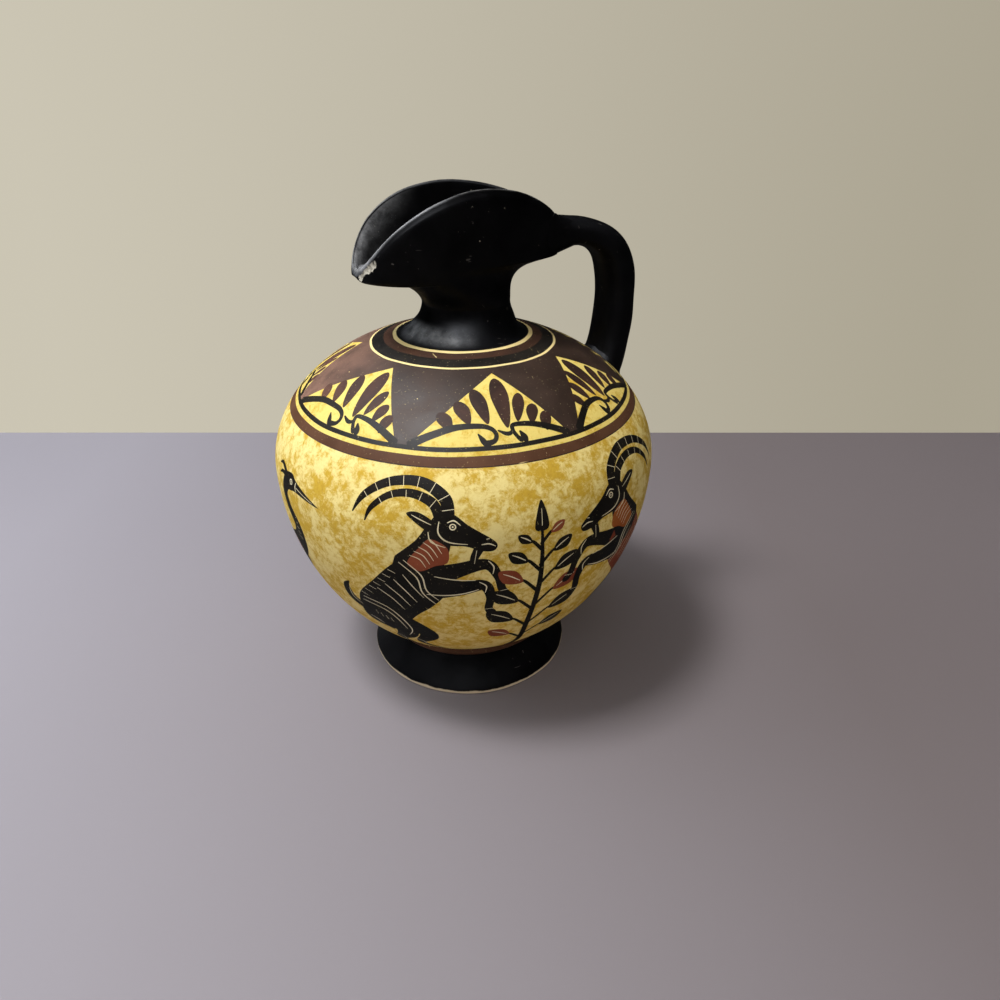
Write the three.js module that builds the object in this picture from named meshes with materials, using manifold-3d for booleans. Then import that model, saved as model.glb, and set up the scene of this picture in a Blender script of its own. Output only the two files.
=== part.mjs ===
// Beaked wine jug of fired earthenware, built as a potter builds it: separately thrown and
// pulled pieces, luted together with clay coils. Millimetres, +Z up. The origin lies on the
// body's axis in the plane that the foot stands on. The beak points along -X, the handle along +X.
import * as THREE from "three";
import { mergeVertices } from "three/addons/utils/BufferGeometryUtils.js";
import Module from "manifold-3d";

const wasm = await Module();
wasm.setup();

// Driving dimensions: body.
const BELLY_RADIUS = 75; // at the widest line
const BELLY_DROP = 86.2; // widest line down to the belly's pole
const SHOULDER_RISE = 51; // widest line up to where the shoulder's curve would close
const BODY_WALL = 5;
const JOINT_RISE = 23.3; // widest line up to the belly-shoulder joint
const SEAT_GAP = 0.3; // slip-filled gap between luted pieces

// Driving dimensions: foot and its luting coil.
const FOOT_RADIUS = 43.2;
const FOOT_HEIGHT = 15.5;
const FOOT_TOP_RADIUS = 35;
const FOOT_EDGE = 3.5; // height of the upright rim of the foot
const FOOT_CHAMFER = 0.8; // bare edge at the table
const FOOT_RING_WIDTH = 9; // flat ring that meets the table
const FOOT_WAIST_WIDTH = 8; // wall of the foot under the belly
const FOOT_COIL_RADIUS = 2.4;
const FOOT_COIL_STANDOFF = 1.81; // coil's centre line outside the belly's curve

// Driving dimensions: neck.
const NECK_FLANGE_RADIUS = 25.6;
const NECK_FLANGE_EDGE = 0.6;
const NECK_WAIST_RADIUS = 16.4;
const NECK_HEIGHT = 12;
const NECK_WALL = 3.8;
const NECK_SPIGOT_RADIUS = 18;
const NECK_SPIGOT_DEPTH = 3.5;
const SEAT_MARGIN = 1.3; // shoulder's flat seat beyond the neck's flange

// Driving dimensions: beaked mouth, with heights above the neck's waist.
const BEAK_REACH = 39.9; // axis to the tip of the beak
const BEAK_COVE = 12; // length of the hollow curve under the beak's root
const BEAK_UNDERSIDE = 10.4; // height of the beak's underside
const BEAK_CHIN = 1.6; // height of the chin's curve
const BACK_REACH = 38; // axis to the back of the mouth
const BACK_RISE = 13.8; // height at which the back is full length
const BACK_HOLLOW = 2.8; // exponent of the curve under the back: 2 is an ellipse, more is squarer
const SIDE_REACH = 21.4; // half the mouth's width
const SIDE_RISE = 32;
const WIDEST_STATION = 12; // the mouth is widest this far in front of the axis
const MOUTH_WALL = 2.8;
const MOUTH_BACK_WALL = 6; // thicker behind, where the handle is luted on
const RIM_CREST = 39.9; // crest's height
const RIM_CREST_BACK = 2; // crest behind the axis
const RIM_FRONT_RADIUS = 47.2; // seen from the side, the rim drops to the beak along this arc
const RIM_BACK_RADIUS = 58; // and to the handle along this one
const FRONT_FULLNESS = 2.6; // exponent of the beak's plan: 2 is an ellipse, more is blunter
const BACK_SPREAD = 1.15; // exponents of the back's plan: under 2 tapers to the handle
const BACK_POINT = 2.2;

// Driving dimensions: handle, and the coils at its two ends.
const HANDLE_WIDTH = 20;
const HANDLE_THICKNESS = 12.5;
const HANDLE_ROOT_RISE = 22.8; // its centre line leaves the mouth this far above the neck's waist
const HANDLE_TUCK = 9.7; // its centre line keeps this far inside the belly's widest line
const HANDLE_BASE_DRAW = 1.55; // its centre line draws in this far before it meets the shoulder
const BEND_TIGHTNESS = 0.25; // share of the bend left to its rounding: less is squarer
const HANDLE_ROOT_SHARE = 0.72; // width and thickness at the mouth, as a share of the middle's
const END_SHARE = 0.5; // share of the handle's length over which either end changes
const HANDLE_BASE_SPREAD = 1.05; // width at the shoulder, as a share of the middle's
const COIL_SPREAD = 1.8; // coil's thickness at the buried end of the handle
const STRAP_SQUARENESS = 0.8; // exponent of the strap's section: 1 is an ellipse
const COIL_EDGE = 0.7; // coil's thickness where it dies out

// Facets and cutting.
const MERGE_TOLERANCE = 1e-4;
const CUT_MARGIN = 1; // cutting shapes run this far past what they cut
const INSET_SAMPLES = 8;
const AROUND = 52;
const BODY_STEPS = 8;
const JOINT_STEPS = 4;
const COVE_STEPS = 5;
const SECTION_POINTS = 16;
const HANDLE_STEPS = 20;
const COIL_STEPS = 3; // of the handle's steps, counted from its buried end

// Levels that follow from the driving dimensions. The belly sinks into the foot until its curve
// lies inside the coil, so the foot carries everything above it.
const FOOT_COIL_Z = FOOT_HEIGHT + FOOT_COIL_RADIUS;
const SEATED_RADIUS = FOOT_TOP_RADIUS - FOOT_COIL_STANDOFF;
const WIDEST_Z = FOOT_COIL_Z + BELLY_DROP * Math.sqrt(1 - (SEATED_RADIUS / BELLY_RADIUS) ** 2);
const JOINT_Z = WIDEST_Z + JOINT_RISE;
const SEAT_RADIUS = NECK_FLANGE_RADIUS + SEAT_MARGIN;
const SEAT_Z = WIDEST_Z + SHOULDER_RISE * Math.sqrt(1 - (SEAT_RADIUS / BELLY_RADIUS) ** 2);
const WAIST_Z = SEAT_Z + NECK_HEIGHT;
const CREST_Z = WAIST_Z + RIM_CREST;

const clamp01 = (t) => Math.min(1, Math.max(0, t));
const power = (v, e) => Math.sign(v) * Math.abs(v) ** e;

// A closed geometry as a solid that can be cut, with shared vertices merged and slivers dropped.
function solid(geometry) {
  const bare = geometry.clone();
  bare.deleteAttribute("normal");
  bare.deleteAttribute("uv");
  const merged = mergeVertices(bare, MERGE_TOLERANCE);
  const kept = [];
  const index = merged.index.array;
  for (let i = 0; i < index.length; i += 3) {
    const [a, b, c] = [index[i], index[i + 1], index[i + 2]];
    if (a !== b && b !== c && c !== a) kept.push(a, b, c);
  }
  return new wasm.Manifold(
    new wasm.Mesh({
      numProp: 3,
      vertProperties: merged.attributes.position.array,
      triVerts: new Uint32Array(kept),
    }),
  );
}

// A solid back as a geometry with flat-shaded normals.
function geometryOf(made) {
  const mesh = made.getMesh();
  const geometry = new THREE.BufferGeometry();
  geometry.setAttribute("position", new THREE.BufferAttribute(mesh.vertProperties, 3));
  geometry.setIndex(new THREE.BufferAttribute(mesh.triVerts, 1));
  geometry.computeVertexNormals();
  return geometry;
}

// A profile of [radius, height] pairs turned about the vertical axis. It runs anticlockwise,
// seen with the radius to the right and the height up, and closes on itself or on the axis.
function turned(profile) {
  const points = profile.map(([r, z]) => new THREE.Vector2(r, z));
  return solid(new THREE.LatheGeometry(points, AROUND).rotateX(Math.PI / 2));
}

// A closed skin over rings of points that all have the same count, capped at both ends.
function lofted(rings) {
  const count = rings[0].length;
  const centre = (ring) => ring.reduce((sum, p) => sum.add(p), new THREE.Vector3()).divideScalar(count);
  const points = [...rings.flat(), centre(rings[0]), centre(rings.at(-1))];
  const first = points.length - 2;
  const index = [];
  for (let i = 0; i < count; i++) {
    const j = (i + 1) % count;
    for (let k = 0; k + 1 < rings.length; k++) {
      const [low, high] = [k * count, (k + 1) * count];
      index.push(low + i, low + j, high + j, low + i, high + j, high + i);
    }
    const last = (rings.length - 1) * count;
    index.push(first, j, i, first + 1, last + i, last + j);
  }
  const geometry = new THREE.BufferGeometry().setFromPoints(points);
  geometry.setIndex(index);
  return solid(geometry);
}

// Body: two half-ellipses on one widest line. Positive inset moves the curve into the clay.
function bodyHeight(radius, inset = 0) {
  const share = Math.sqrt(Math.max(0, 1 - (radius / (BELLY_RADIUS - inset)) ** 2));
  return WIDEST_Z + (SHOULDER_RISE - inset) * share;
}

// Points of the belly's curve from its pole up to the widest line.
function bellyCurve(inset) {
  const points = [];
  for (let i = 0; i <= BODY_STEPS; i++) {
    const a = (i / BODY_STEPS) * (Math.PI / 2);
    points.push([(BELLY_RADIUS - inset) * Math.sin(a), WIDEST_Z - (BELLY_DROP - inset) * Math.cos(a)]);
  }
  return points;
}

// Angle on the shoulder's curve at a height, from 0 at the widest line.
function shoulderAngle(z, inset = 0) {
  return Math.asin(clamp01((z - WIDEST_Z) / (SHOULDER_RISE - inset)));
}

// Points of the shoulder's curve between two angles, rising.
function shoulderCurve(inset, low, high, steps) {
  const points = [];
  for (let i = 0; i <= steps; i++) {
    const a = THREE.MathUtils.lerp(low, high, i / steps);
    const r = (BELLY_RADIUS - inset) * Math.cos(a);
    points.push([r, WIDEST_Z + (SHOULDER_RISE - inset) * Math.sin(a)]);
  }
  return points;
}

const JOINT_ANGLE = shoulderAngle(JOINT_Z);
const SEAT_ANGLE = shoulderAngle(SEAT_Z);

// The body's whole outside as one plain solid, grown outwards, for cutting what seats on it.
function bodyBlank(grow) {
  const lower = shoulderCurve(-grow, 0, JOINT_ANGLE, JOINT_STEPS).slice(1);
  const upper = shoulderCurve(-grow, JOINT_ANGLE, SEAT_ANGLE, BODY_STEPS).slice(1);
  return turned([...bellyCurve(-grow), ...lower, ...upper, [0, upper.at(-1)[1]]]);
}

function belly() {
  const joint = shoulderCurve(0, 0, JOINT_ANGLE, JOINT_STEPS).slice(1);
  const innerJoint = shoulderCurve(BODY_WALL, 0, shoulderAngle(JOINT_Z, BODY_WALL), JOINT_STEPS).slice(1);
  const outer = [...bellyCurve(0), ...joint];
  const inner = [...bellyCurve(BODY_WALL), ...innerJoint];
  return turned([...outer, ...inner.reverse()]);
}

function shoulder() {
  const bore = NECK_SPIGOT_RADIUS + SEAT_GAP;
  const low = shoulderAngle(JOINT_Z, BODY_WALL);
  const high = shoulderAngle(bodyHeight(bore, BODY_WALL), BODY_WALL);
  const outer = shoulderCurve(0, JOINT_ANGLE, SEAT_ANGLE, BODY_STEPS);
  const inner = shoulderCurve(BODY_WALL, low, high, BODY_STEPS);
  return turned([...outer, [bore, SEAT_Z], ...inner.reverse(), outer[0]]);
}

// Foot: a ring whose side hollows from the belly out to an upright edge; its bore shows the belly.
function foot() {
  const side = [];
  for (let i = 0; i <= COVE_STEPS; i++) {
    const a = (i / COVE_STEPS) * (Math.PI / 2);
    const r = FOOT_RADIUS - (FOOT_RADIUS - FOOT_TOP_RADIUS) * Math.sin(a);
    side.push([r, FOOT_HEIGHT - (FOOT_HEIGHT - FOOT_EDGE) * Math.cos(a)]);
  }
  const bore = FOOT_TOP_RADIUS - FOOT_WAIST_WIDTH;
  const block = turned([
    [FOOT_RADIUS - FOOT_RING_WIDTH, 0],
    [FOOT_RADIUS - FOOT_CHAMFER, 0],
    [FOOT_RADIUS, FOOT_CHAMFER],
    ...side,
    [bore, FOOT_HEIGHT],
    [FOOT_RADIUS - FOOT_RING_WIDTH, 0],
  ]);
  return block.subtract(bodyBlank(SEAT_GAP));
}

// Coil of clay pressed into the angle between belly and foot.
function footCoil() {
  const inside = FOOT_TOP_RADIUS - FOOT_WAIST_WIDTH;
  const bulge = [];
  for (let i = 0; i <= COVE_STEPS; i++) {
    const a = (i / COVE_STEPS - 0.5) * Math.PI;
    const [out, up] = [FOOT_COIL_RADIUS * Math.cos(a), FOOT_COIL_RADIUS * Math.sin(a)];
    bulge.push([FOOT_TOP_RADIUS + out, FOOT_COIL_Z + up]);
  }
  const start = [inside, FOOT_HEIGHT];
  const block = turned([start, ...bulge, [inside, bulge.at(-1)[1]], start]);
  return block.subtract(bodyBlank(SEAT_GAP));
}

// Neck: a hollow cove from a thin flange on the shoulder up to the waist, with a locating spigot.
function neck() {
  const boreRadius = NECK_WAIST_RADIUS - NECK_WALL;
  const spigotWall = NECK_SPIGOT_RADIUS - NECK_WALL;
  const cove = [];
  for (let i = 0; i <= COVE_STEPS; i++) {
    const a = (i / COVE_STEPS) * (Math.PI / 2);
    const r = NECK_FLANGE_RADIUS - (NECK_FLANGE_RADIUS - NECK_WAIST_RADIUS) * Math.sin(a);
    cove.push([r, WAIST_Z - (NECK_HEIGHT - NECK_FLANGE_EDGE) * Math.cos(a)]);
  }
  return turned([
    [spigotWall, SEAT_Z - NECK_SPIGOT_DEPTH],
    [NECK_SPIGOT_RADIUS, SEAT_Z - NECK_SPIGOT_DEPTH],
    [NECK_SPIGOT_RADIUS, SEAT_Z],
    [NECK_FLANGE_RADIUS, SEAT_Z],
    ...cove,
    [boreRadius, WAIST_Z],
    [boreRadius, SEAT_Z + NECK_HEIGHT / 2],
    [spigotWall, SEAT_Z - NECK_SPIGOT_DEPTH],
  ]);
}

// Reaches of the mouth's outside at a height above the neck's waist.
const BEAK_MIDDLE = NECK_WAIST_RADIUS + BEAK_COVE;

function beakReach(h) {
  if (h < BEAK_UNDERSIDE) {
    return BEAK_MIDDLE - BEAK_COVE * Math.sqrt(1 - clamp01(h / BEAK_UNDERSIDE) ** 2);
  }
  const left = 1 - clamp01((h - BEAK_UNDERSIDE) / BEAK_CHIN);
  return BEAK_MIDDLE + (BEAK_REACH - BEAK_MIDDLE) * Math.sqrt(1 - left ** 2);
}

function backReach(h) {
  const left = (1 - clamp01(h / BACK_RISE) ** BACK_HOLLOW) ** (1 / BACK_HOLLOW);
  return BACK_REACH - (BACK_REACH - NECK_WAIST_RADIUS) * left;
}

function sideReach(h) {
  const swell = Math.sin((clamp01(h / SIDE_RISE) * Math.PI) / 2);
  return NECK_WAIST_RADIUS + (SIDE_REACH - NECK_WAIST_RADIUS) * swell;
}

// A reach drawn in by a wall measured square to its curve; a negative wall grows it.
function inset(reach, wall, h) {
  if (wall <= 0) return reach(h) - wall;
  let least = Infinity;
  for (let i = -INSET_SAMPLES; i <= INSET_SAMPLES; i++) {
    const shift = (i / INSET_SAMPLES) * wall;
    least = Math.min(least, reach(h + shift) - Math.sqrt(wall ** 2 - shift ** 2));
  }
  return least;
}

// One level of the mouth: round at the waist, blunt in front and tapered behind further up.
function mouthRing(h, wall, backWall) {
  const blend = THREE.MathUtils.smoothstep(h, 0, BACK_RISE);
  const station = -WIDEST_STATION * blend;
  const front = inset(beakReach, wall, h) + station;
  const back = inset(backReach, THREE.MathUtils.lerp(wall, backWall, blend ** 2), h) - station;
  const side = inset(sideReach, wall, h);
  const fullness = 2 / THREE.MathUtils.lerp(2, FRONT_FULLNESS, blend);
  const spread = 2 / THREE.MathUtils.lerp(2, BACK_SPREAD, blend);
  const point = 2 / THREE.MathUtils.lerp(2, BACK_POINT, blend);
  const ring = [];
  for (let i = 0; i < AROUND; i++) {
    const a = (i / AROUND) * 2 * Math.PI;
    const [c, s] = [Math.cos(a), Math.sin(a)];
    const x = c < 0 ? front * power(c, fullness) : back * power(c, spread);
    const y = side * power(s, c < 0 ? fullness : point);
    ring.push(new THREE.Vector3(station + x, y, WAIST_Z + h));
  }
  return ring;
}

// Heights that crowd together where the beak's underside runs level.
function mouthLevels(start) {
  const cove = [];
  const chin = [];
  const upper = [];
  const chinTop = BEAK_UNDERSIDE + BEAK_CHIN + MOUTH_WALL;
  for (let i = 1; i <= COVE_STEPS; i++) {
    const a = (i / COVE_STEPS) * (Math.PI / 2);
    cove.push(BEAK_UNDERSIDE * Math.sin(a));
    chin.push(THREE.MathUtils.lerp(BEAK_UNDERSIDE, chinTop, 1 - Math.cos(a)));
    upper.push(THREE.MathUtils.lerp(chinTop, RIM_CREST + CUT_MARGIN, i / COVE_STEPS));
  }
  return [start, ...cove, ...chin, ...upper];
}

function mouthBlank(wall, backWall, start) {
  return lofted(mouthLevels(start).map((h) => mouthRing(h, wall, backWall)));
}

// Everything under the two arcs along which the rim is cut; they meet level at the crest.
function rimCutter() {
  const side = new THREE.Shape();
  side.moveTo(RIM_CREST_BACK - RIM_FRONT_RADIUS, 0);
  side.absarc(RIM_CREST_BACK, CREST_Z - RIM_FRONT_RADIUS, RIM_FRONT_RADIUS, Math.PI, Math.PI / 2, true);
  side.absarc(RIM_CREST_BACK, CREST_Z - RIM_BACK_RADIUS, RIM_BACK_RADIUS, Math.PI / 2, 0, true);
  side.lineTo(RIM_CREST_BACK + RIM_BACK_RADIUS, 0);
  const depth = 2 * (SIDE_REACH + CUT_MARGIN);
  const options = { depth, bevelEnabled: false, curveSegments: AROUND / 2 };
  const block = new THREE.ExtrudeGeometry(side, options).translate(0, 0, -depth / 2);
  return solid(block.rotateX(Math.PI / 2));
}

function mouth() {
  const outside = mouthBlank(0, 0, 0);
  const hollow = mouthBlank(MOUTH_WALL, MOUTH_BACK_WALL, -CUT_MARGIN);
  return outside.intersect(rimCutter()).subtract(hollow);
}

// Handle: its centre line leaves the mouth level, bends down and drops onto the shoulder.
const HANDLE_REACH = BELLY_RADIUS - HANDLE_TUCK;
const HANDLE_BASE_RADIUS = HANDLE_REACH - HANDLE_BASE_DRAW;
const HANDLE_BASE_Z = bodyHeight(HANDLE_BASE_RADIUS);
const HANDLE_ROOT_Z = WAIST_Z + HANDLE_ROOT_RISE;
const HANDLE_BEND = HANDLE_REACH - BACK_REACH;

function handleLine() {
  const at = (x, z) => new THREE.Vector3(x, 0, z);
  const inside = at(BACK_REACH - MOUTH_BACK_WALL, HANDLE_ROOT_Z);
  const over = at(HANDLE_REACH - HANDLE_BEND * BEND_TIGHTNESS, HANDLE_ROOT_Z);
  const round = at(HANDLE_REACH, HANDLE_ROOT_Z - HANDLE_BEND * BEND_TIGHTNESS);
  const upright = at(HANDLE_REACH, HANDLE_ROOT_Z - HANDLE_BEND);
  const drop = at(HANDLE_REACH, HANDLE_BASE_Z + HANDLE_BEND * BEND_TIGHTNESS);
  const sunk = at(HANDLE_BASE_RADIUS - BODY_WALL, HANDLE_BASE_Z - BODY_WALL);
  const line = new THREE.CurvePath();
  line.add(new THREE.CubicBezierCurve3(inside, over, round, upright));
  line.add(new THREE.QuadraticBezierCurve3(upright, drop, sunk));
  return line;
}

// One section of the handle: an oval strap across the line, grown by an even margin.
function handleRing(line, t, grow) {
  const centre = line.getPointAt(t);
  const along = line.getTangentAt(t);
  const across = new THREE.Vector3(0, 1, 0);
  const outward = new THREE.Vector3().crossVectors(along, across);
  const fromRoot = THREE.MathUtils.smoothstep(t, 0, END_SHARE);
  const toBase = THREE.MathUtils.smoothstep(t, 1 - END_SHARE, 1);
  const share = THREE.MathUtils.lerp(HANDLE_ROOT_SHARE, 1, fromRoot);
  const spread = THREE.MathUtils.lerp(1, HANDLE_BASE_SPREAD, toBase);
  const ring = [];
  for (let i = 0; i < SECTION_POINTS; i++) {
    const a = (i / SECTION_POINTS) * 2 * Math.PI;
    const wide = ((HANDLE_WIDTH / 2) * share * spread + grow) * power(Math.cos(a), STRAP_SQUARENESS);
    const thick = ((HANDLE_THICKNESS / 2) * share + grow) * power(Math.sin(a), STRAP_SQUARENESS);
    ring.push(centre.clone().addScaledVector(across, wide).addScaledVector(outward, thick));
  }
  return ring;
}

function handleBlank(grow) {
  const line = handleLine();
  const rings = [];
  for (let i = 0; i <= HANDLE_STEPS; i++) rings.push(handleRing(line, i / HANDLE_STEPS, grow));
  for (const p of rings[0]) p.addScaledVector(line.getTangentAt(0), -grow);
  for (const p of rings.at(-1)) p.addScaledVector(line.getTangentAt(1), grow);
  return lofted(rings);
}

// What the handle and its coils must stand clear of: the mouth and the body, grown by the gap.
function seats() {
  return mouthBlank(-SEAT_GAP, -SEAT_GAP, -CUT_MARGIN).add(bodyBlank(SEAT_GAP));
}

function handle() {
  return handleBlank(0).subtract(seats());
}

// Collar of clay smoothed round one end of the handle, thick at the joint and thin at its edge.
function handleCoil(atRoot) {
  const line = handleLine();
  const rings = [];
  for (let i = 0; i <= COIL_STEPS; i++) {
    const t = (atRoot ? i : HANDLE_STEPS - i) / HANDLE_STEPS;
    const spread = COIL_EDGE + (COIL_SPREAD - COIL_EDGE) * (1 - i / COIL_STEPS);
    rings.push(handleRing(line, t, spread));
  }
  if (!atRoot) rings.reverse();
  return lofted(rings).subtract(handleBlank(SEAT_GAP)).subtract(seats());
}

const black = { color: 0x0d0d10, roughness: 0.5, metalness: 0 };
const yellow = { color: 0xd9b95a, roughness: 0.6, metalness: 0 };
const brown = { color: 0x3a211c, roughness: 0.6, metalness: 0 };

const jug = new THREE.Group();

function add(name, made, finish) {
  const mesh = new THREE.Mesh(geometryOf(made), new THREE.MeshStandardMaterial(finish));
  mesh.name = name;
  jug.add(mesh);
}

add("foot", foot(), black);
add("foot_luting_coil", footCoil(), brown);
add("belly", belly(), yellow);
add("shoulder", shoulder(), brown);
add("neck", neck(), black);
add("beaked_mouth", mouth(), black);
add("handle", handle(), black);
add("handle_root_coil", handleCoil(true), black);
add("handle_base_coil", handleCoil(false), black);

export default jug;
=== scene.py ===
import math

import bpy
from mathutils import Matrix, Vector, noise
from mathutils.geometry import delaunay_2d_cdt


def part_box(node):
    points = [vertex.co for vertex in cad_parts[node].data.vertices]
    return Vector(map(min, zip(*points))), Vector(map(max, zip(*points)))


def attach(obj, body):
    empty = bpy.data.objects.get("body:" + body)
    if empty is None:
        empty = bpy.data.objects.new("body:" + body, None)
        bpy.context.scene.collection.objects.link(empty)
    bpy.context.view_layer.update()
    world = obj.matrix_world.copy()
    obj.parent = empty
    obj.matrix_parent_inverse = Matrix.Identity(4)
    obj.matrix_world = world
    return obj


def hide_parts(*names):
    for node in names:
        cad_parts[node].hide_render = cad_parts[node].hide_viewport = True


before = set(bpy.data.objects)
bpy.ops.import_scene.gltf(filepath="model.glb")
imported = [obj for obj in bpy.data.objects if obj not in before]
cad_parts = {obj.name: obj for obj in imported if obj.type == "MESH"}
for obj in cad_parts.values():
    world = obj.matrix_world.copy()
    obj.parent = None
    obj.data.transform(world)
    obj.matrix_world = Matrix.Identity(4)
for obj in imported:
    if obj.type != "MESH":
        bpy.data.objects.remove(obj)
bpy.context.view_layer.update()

MM = 0.001
TURN = 2 * math.pi


def upper(node):
    """Highest corner of a piece of the part, in millimetres."""
    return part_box(node)[1] / MM


# Sizes, in millimetres. They are the part's own, but for fuller angles under the beak and the mouth's back.
BELLY_RADIUS = upper("belly").x
JOINT_Z = upper("belly").z
SEAT_Z = upper("shoulder").z
WAIST_Z = upper("neck").z
CREST_Z = upper("beaked_mouth").z
FOOT_RADIUS = upper("foot").x
BELLY_DROP, SHOULDER_RISE, BODY_WALL = 86.2, 51.0, 5.0
JOINT_RISE = 23.3  # from the widest line up to the joint of belly and shoulder
WIDEST_Z = JOINT_Z - JOINT_RISE
FOOT_HEIGHT, FOOT_TOP_RADIUS, FOOT_COIL_RADIUS = 15.5, 35.0, 2.4
NECK_WAIST_RADIUS, NECK_SPIGOT_RADIUS, NECK_SPIGOT_DEPTH = 16.4, 18.0, 3.5
BEAK_REACH, BEAK_COVE, BEAK_UNDERSIDE, BEAK_CHIN = 39.6, 13.8, 10.5, 0.9
BACK_REACH, BACK_RISE, BACK_HOLLOW, SIDE_REACH, SIDE_RISE = 38.0, 13.8, 2.4, 21.4, 32.0
WIDEST_STATION, MOUTH_WALL, MOUTH_BACK_WALL = 12.0, 2.8, 6.0
RIM_CREST_BACK, RIM_FRONT_RADIUS, RIM_BACK_RADIUS = 2.0, 47.2, 58.0
FRONT_FULLNESS, BACK_SPREAD, BACK_POINT = 2.6, 1.15, 2.2
HANDLE_WIDTH, HANDLE_THICKNESS, HANDLE_ROOT_RISE, HANDLE_REACH = 20.0, 12.5, 22.8, 65.3
HANDLE_ROOT_SHARE, HANDLE_BASE_SPREAD, STRAP_SQUARENESS, BEND_TIGHTNESS = 0.72, 1.05, 0.8, 0.25


def clamp01(t):
    return min(1.0, max(0.0, t))


def lerp(a, b, t):
    return a + (b - a) * t


def smooth(t, low=0.0, high=1.0):
    t = clamp01((t - low) / (high - low))
    return t * t * (3 - 2 * t)


def power(v, e):
    return math.copysign(abs(v) ** e, v)


# Node helpers


class Board:
    """A node tree with short calls for adding nodes and wiring them."""

    def __init__(self, tree):
        self.tree = tree

    def add(self, kind, inputs=None, **settings):
        node = self.tree.nodes.new(kind)
        for key, value in settings.items():
            setattr(node, key, value)
        for key, value in (inputs or {}).items():
            self.feed(node.inputs[key], value)
        return node

    def feed(self, socket, value):
        if isinstance(value, bpy.types.NodeSocket):
            self.tree.links.new(value, socket)
        else:
            socket.default_value = value

    def noise(self, vector, scale, detail, rough=0.55, twist=0.0):
        inputs = {"Vector": vector, "Scale": scale, "Detail": detail, "Roughness": rough, "Distortion": twist}
        return self.add("ShaderNodeTexNoise", inputs).outputs["Fac"]

    def spread(self, value, low, high, to_low=0.0, to_high=1.0):
        inputs = {"Value": value, "From Min": low, "From Max": high, "To Min": to_low, "To Max": to_high}
        return self.add("ShaderNodeMapRange", inputs).outputs["Result"]

    def math(self, operation, a, b):
        return self.add("ShaderNodeMath", {0: a, 1: b}, operation=operation).outputs[0]

    def mix(self, share, a, b):
        node = self.add("ShaderNodeMix", {0: share, 6: a, 7: b}, data_type="RGBA")
        return node.outputs[2]

    def scaled(self, vector, scale):
        return self.add("ShaderNodeMapping", {"Vector": vector, "Scale": scale}).outputs["Vector"]

    def along(self, vector, direction):
        node = self.add("ShaderNodeVectorMath", {0: vector, 1: direction}, operation="DOT_PRODUCT")
        return node.outputs["Value"]

    def height(self, vector):
        return self.add("ShaderNodeSeparateXYZ", {0: vector}).outputs["Z"]

    def mark(self, label):
        return self.add("ShaderNodeAttribute", attribute_name=label).outputs["Fac"]

    def place(self, tree, **inputs):
        node = self.add("ShaderNodeGroup", node_tree=tree)
        for label, value in inputs.items():
            self.feed(node.inputs[label], value)
        return node.outputs


def group(name, inputs, outputs):
    """A node group with its sockets, ready to be filled: its board, its inputs and its end node."""
    tree = bpy.data.node_groups.new(name, "ShaderNodeTree")
    for label, kind in inputs:
        tree.interface.new_socket(label, in_out="INPUT", socket_type=kind)
    for label in outputs:
        tree.interface.new_socket(label, in_out="OUTPUT", socket_type="NodeSocketFloat")
    board = Board(tree)
    start = board.add("NodeGroupInput")
    end = board.add("NodeGroupOutput")
    return board, start.outputs, end.inputs


def sponge_marks():
    """Ochre dabbed on pale slip with a sponge: blots, grains inside them, and a little height."""
    board, given, out = group(
        "sponge_marks",
        [("Vector", "NodeSocketVector"), ("Cover", "NodeSocketFloat")],
        ["Blots", "Grains", "Specks", "Height"],
    )
    vector = given["Vector"]
    patches = board.noise(vector, 75, 3, 0.6)
    blots = board.noise(vector, 270, 9, 0.78, 0.35)
    shift = board.math("MULTIPLY", board.math("SUBTRACT", patches, 0.5), 0.5)
    level = board.math("ADD", board.math("ADD", blots, shift), board.math("SUBTRACT", given["Cover"], 0.5))
    board.feed(out["Blots"], board.spread(level, 0.47, 0.61))
    grains = board.noise(vector, 900, 4, 0.7)
    board.feed(out["Grains"], board.spread(grains, 0.42, 0.66))
    board.feed(out["Specks"], board.spread(board.noise(vector, 1500, 3, 0.6), 0.66, 0.72))
    fine = board.noise(vector, 900, 4, 0.6)
    height = board.math("ADD", board.math("MULTIPLY", blots, 0.6), board.math("MULTIPLY", fine, 0.4))
    board.feed(out["Height"], height)
    return board.tree


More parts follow.
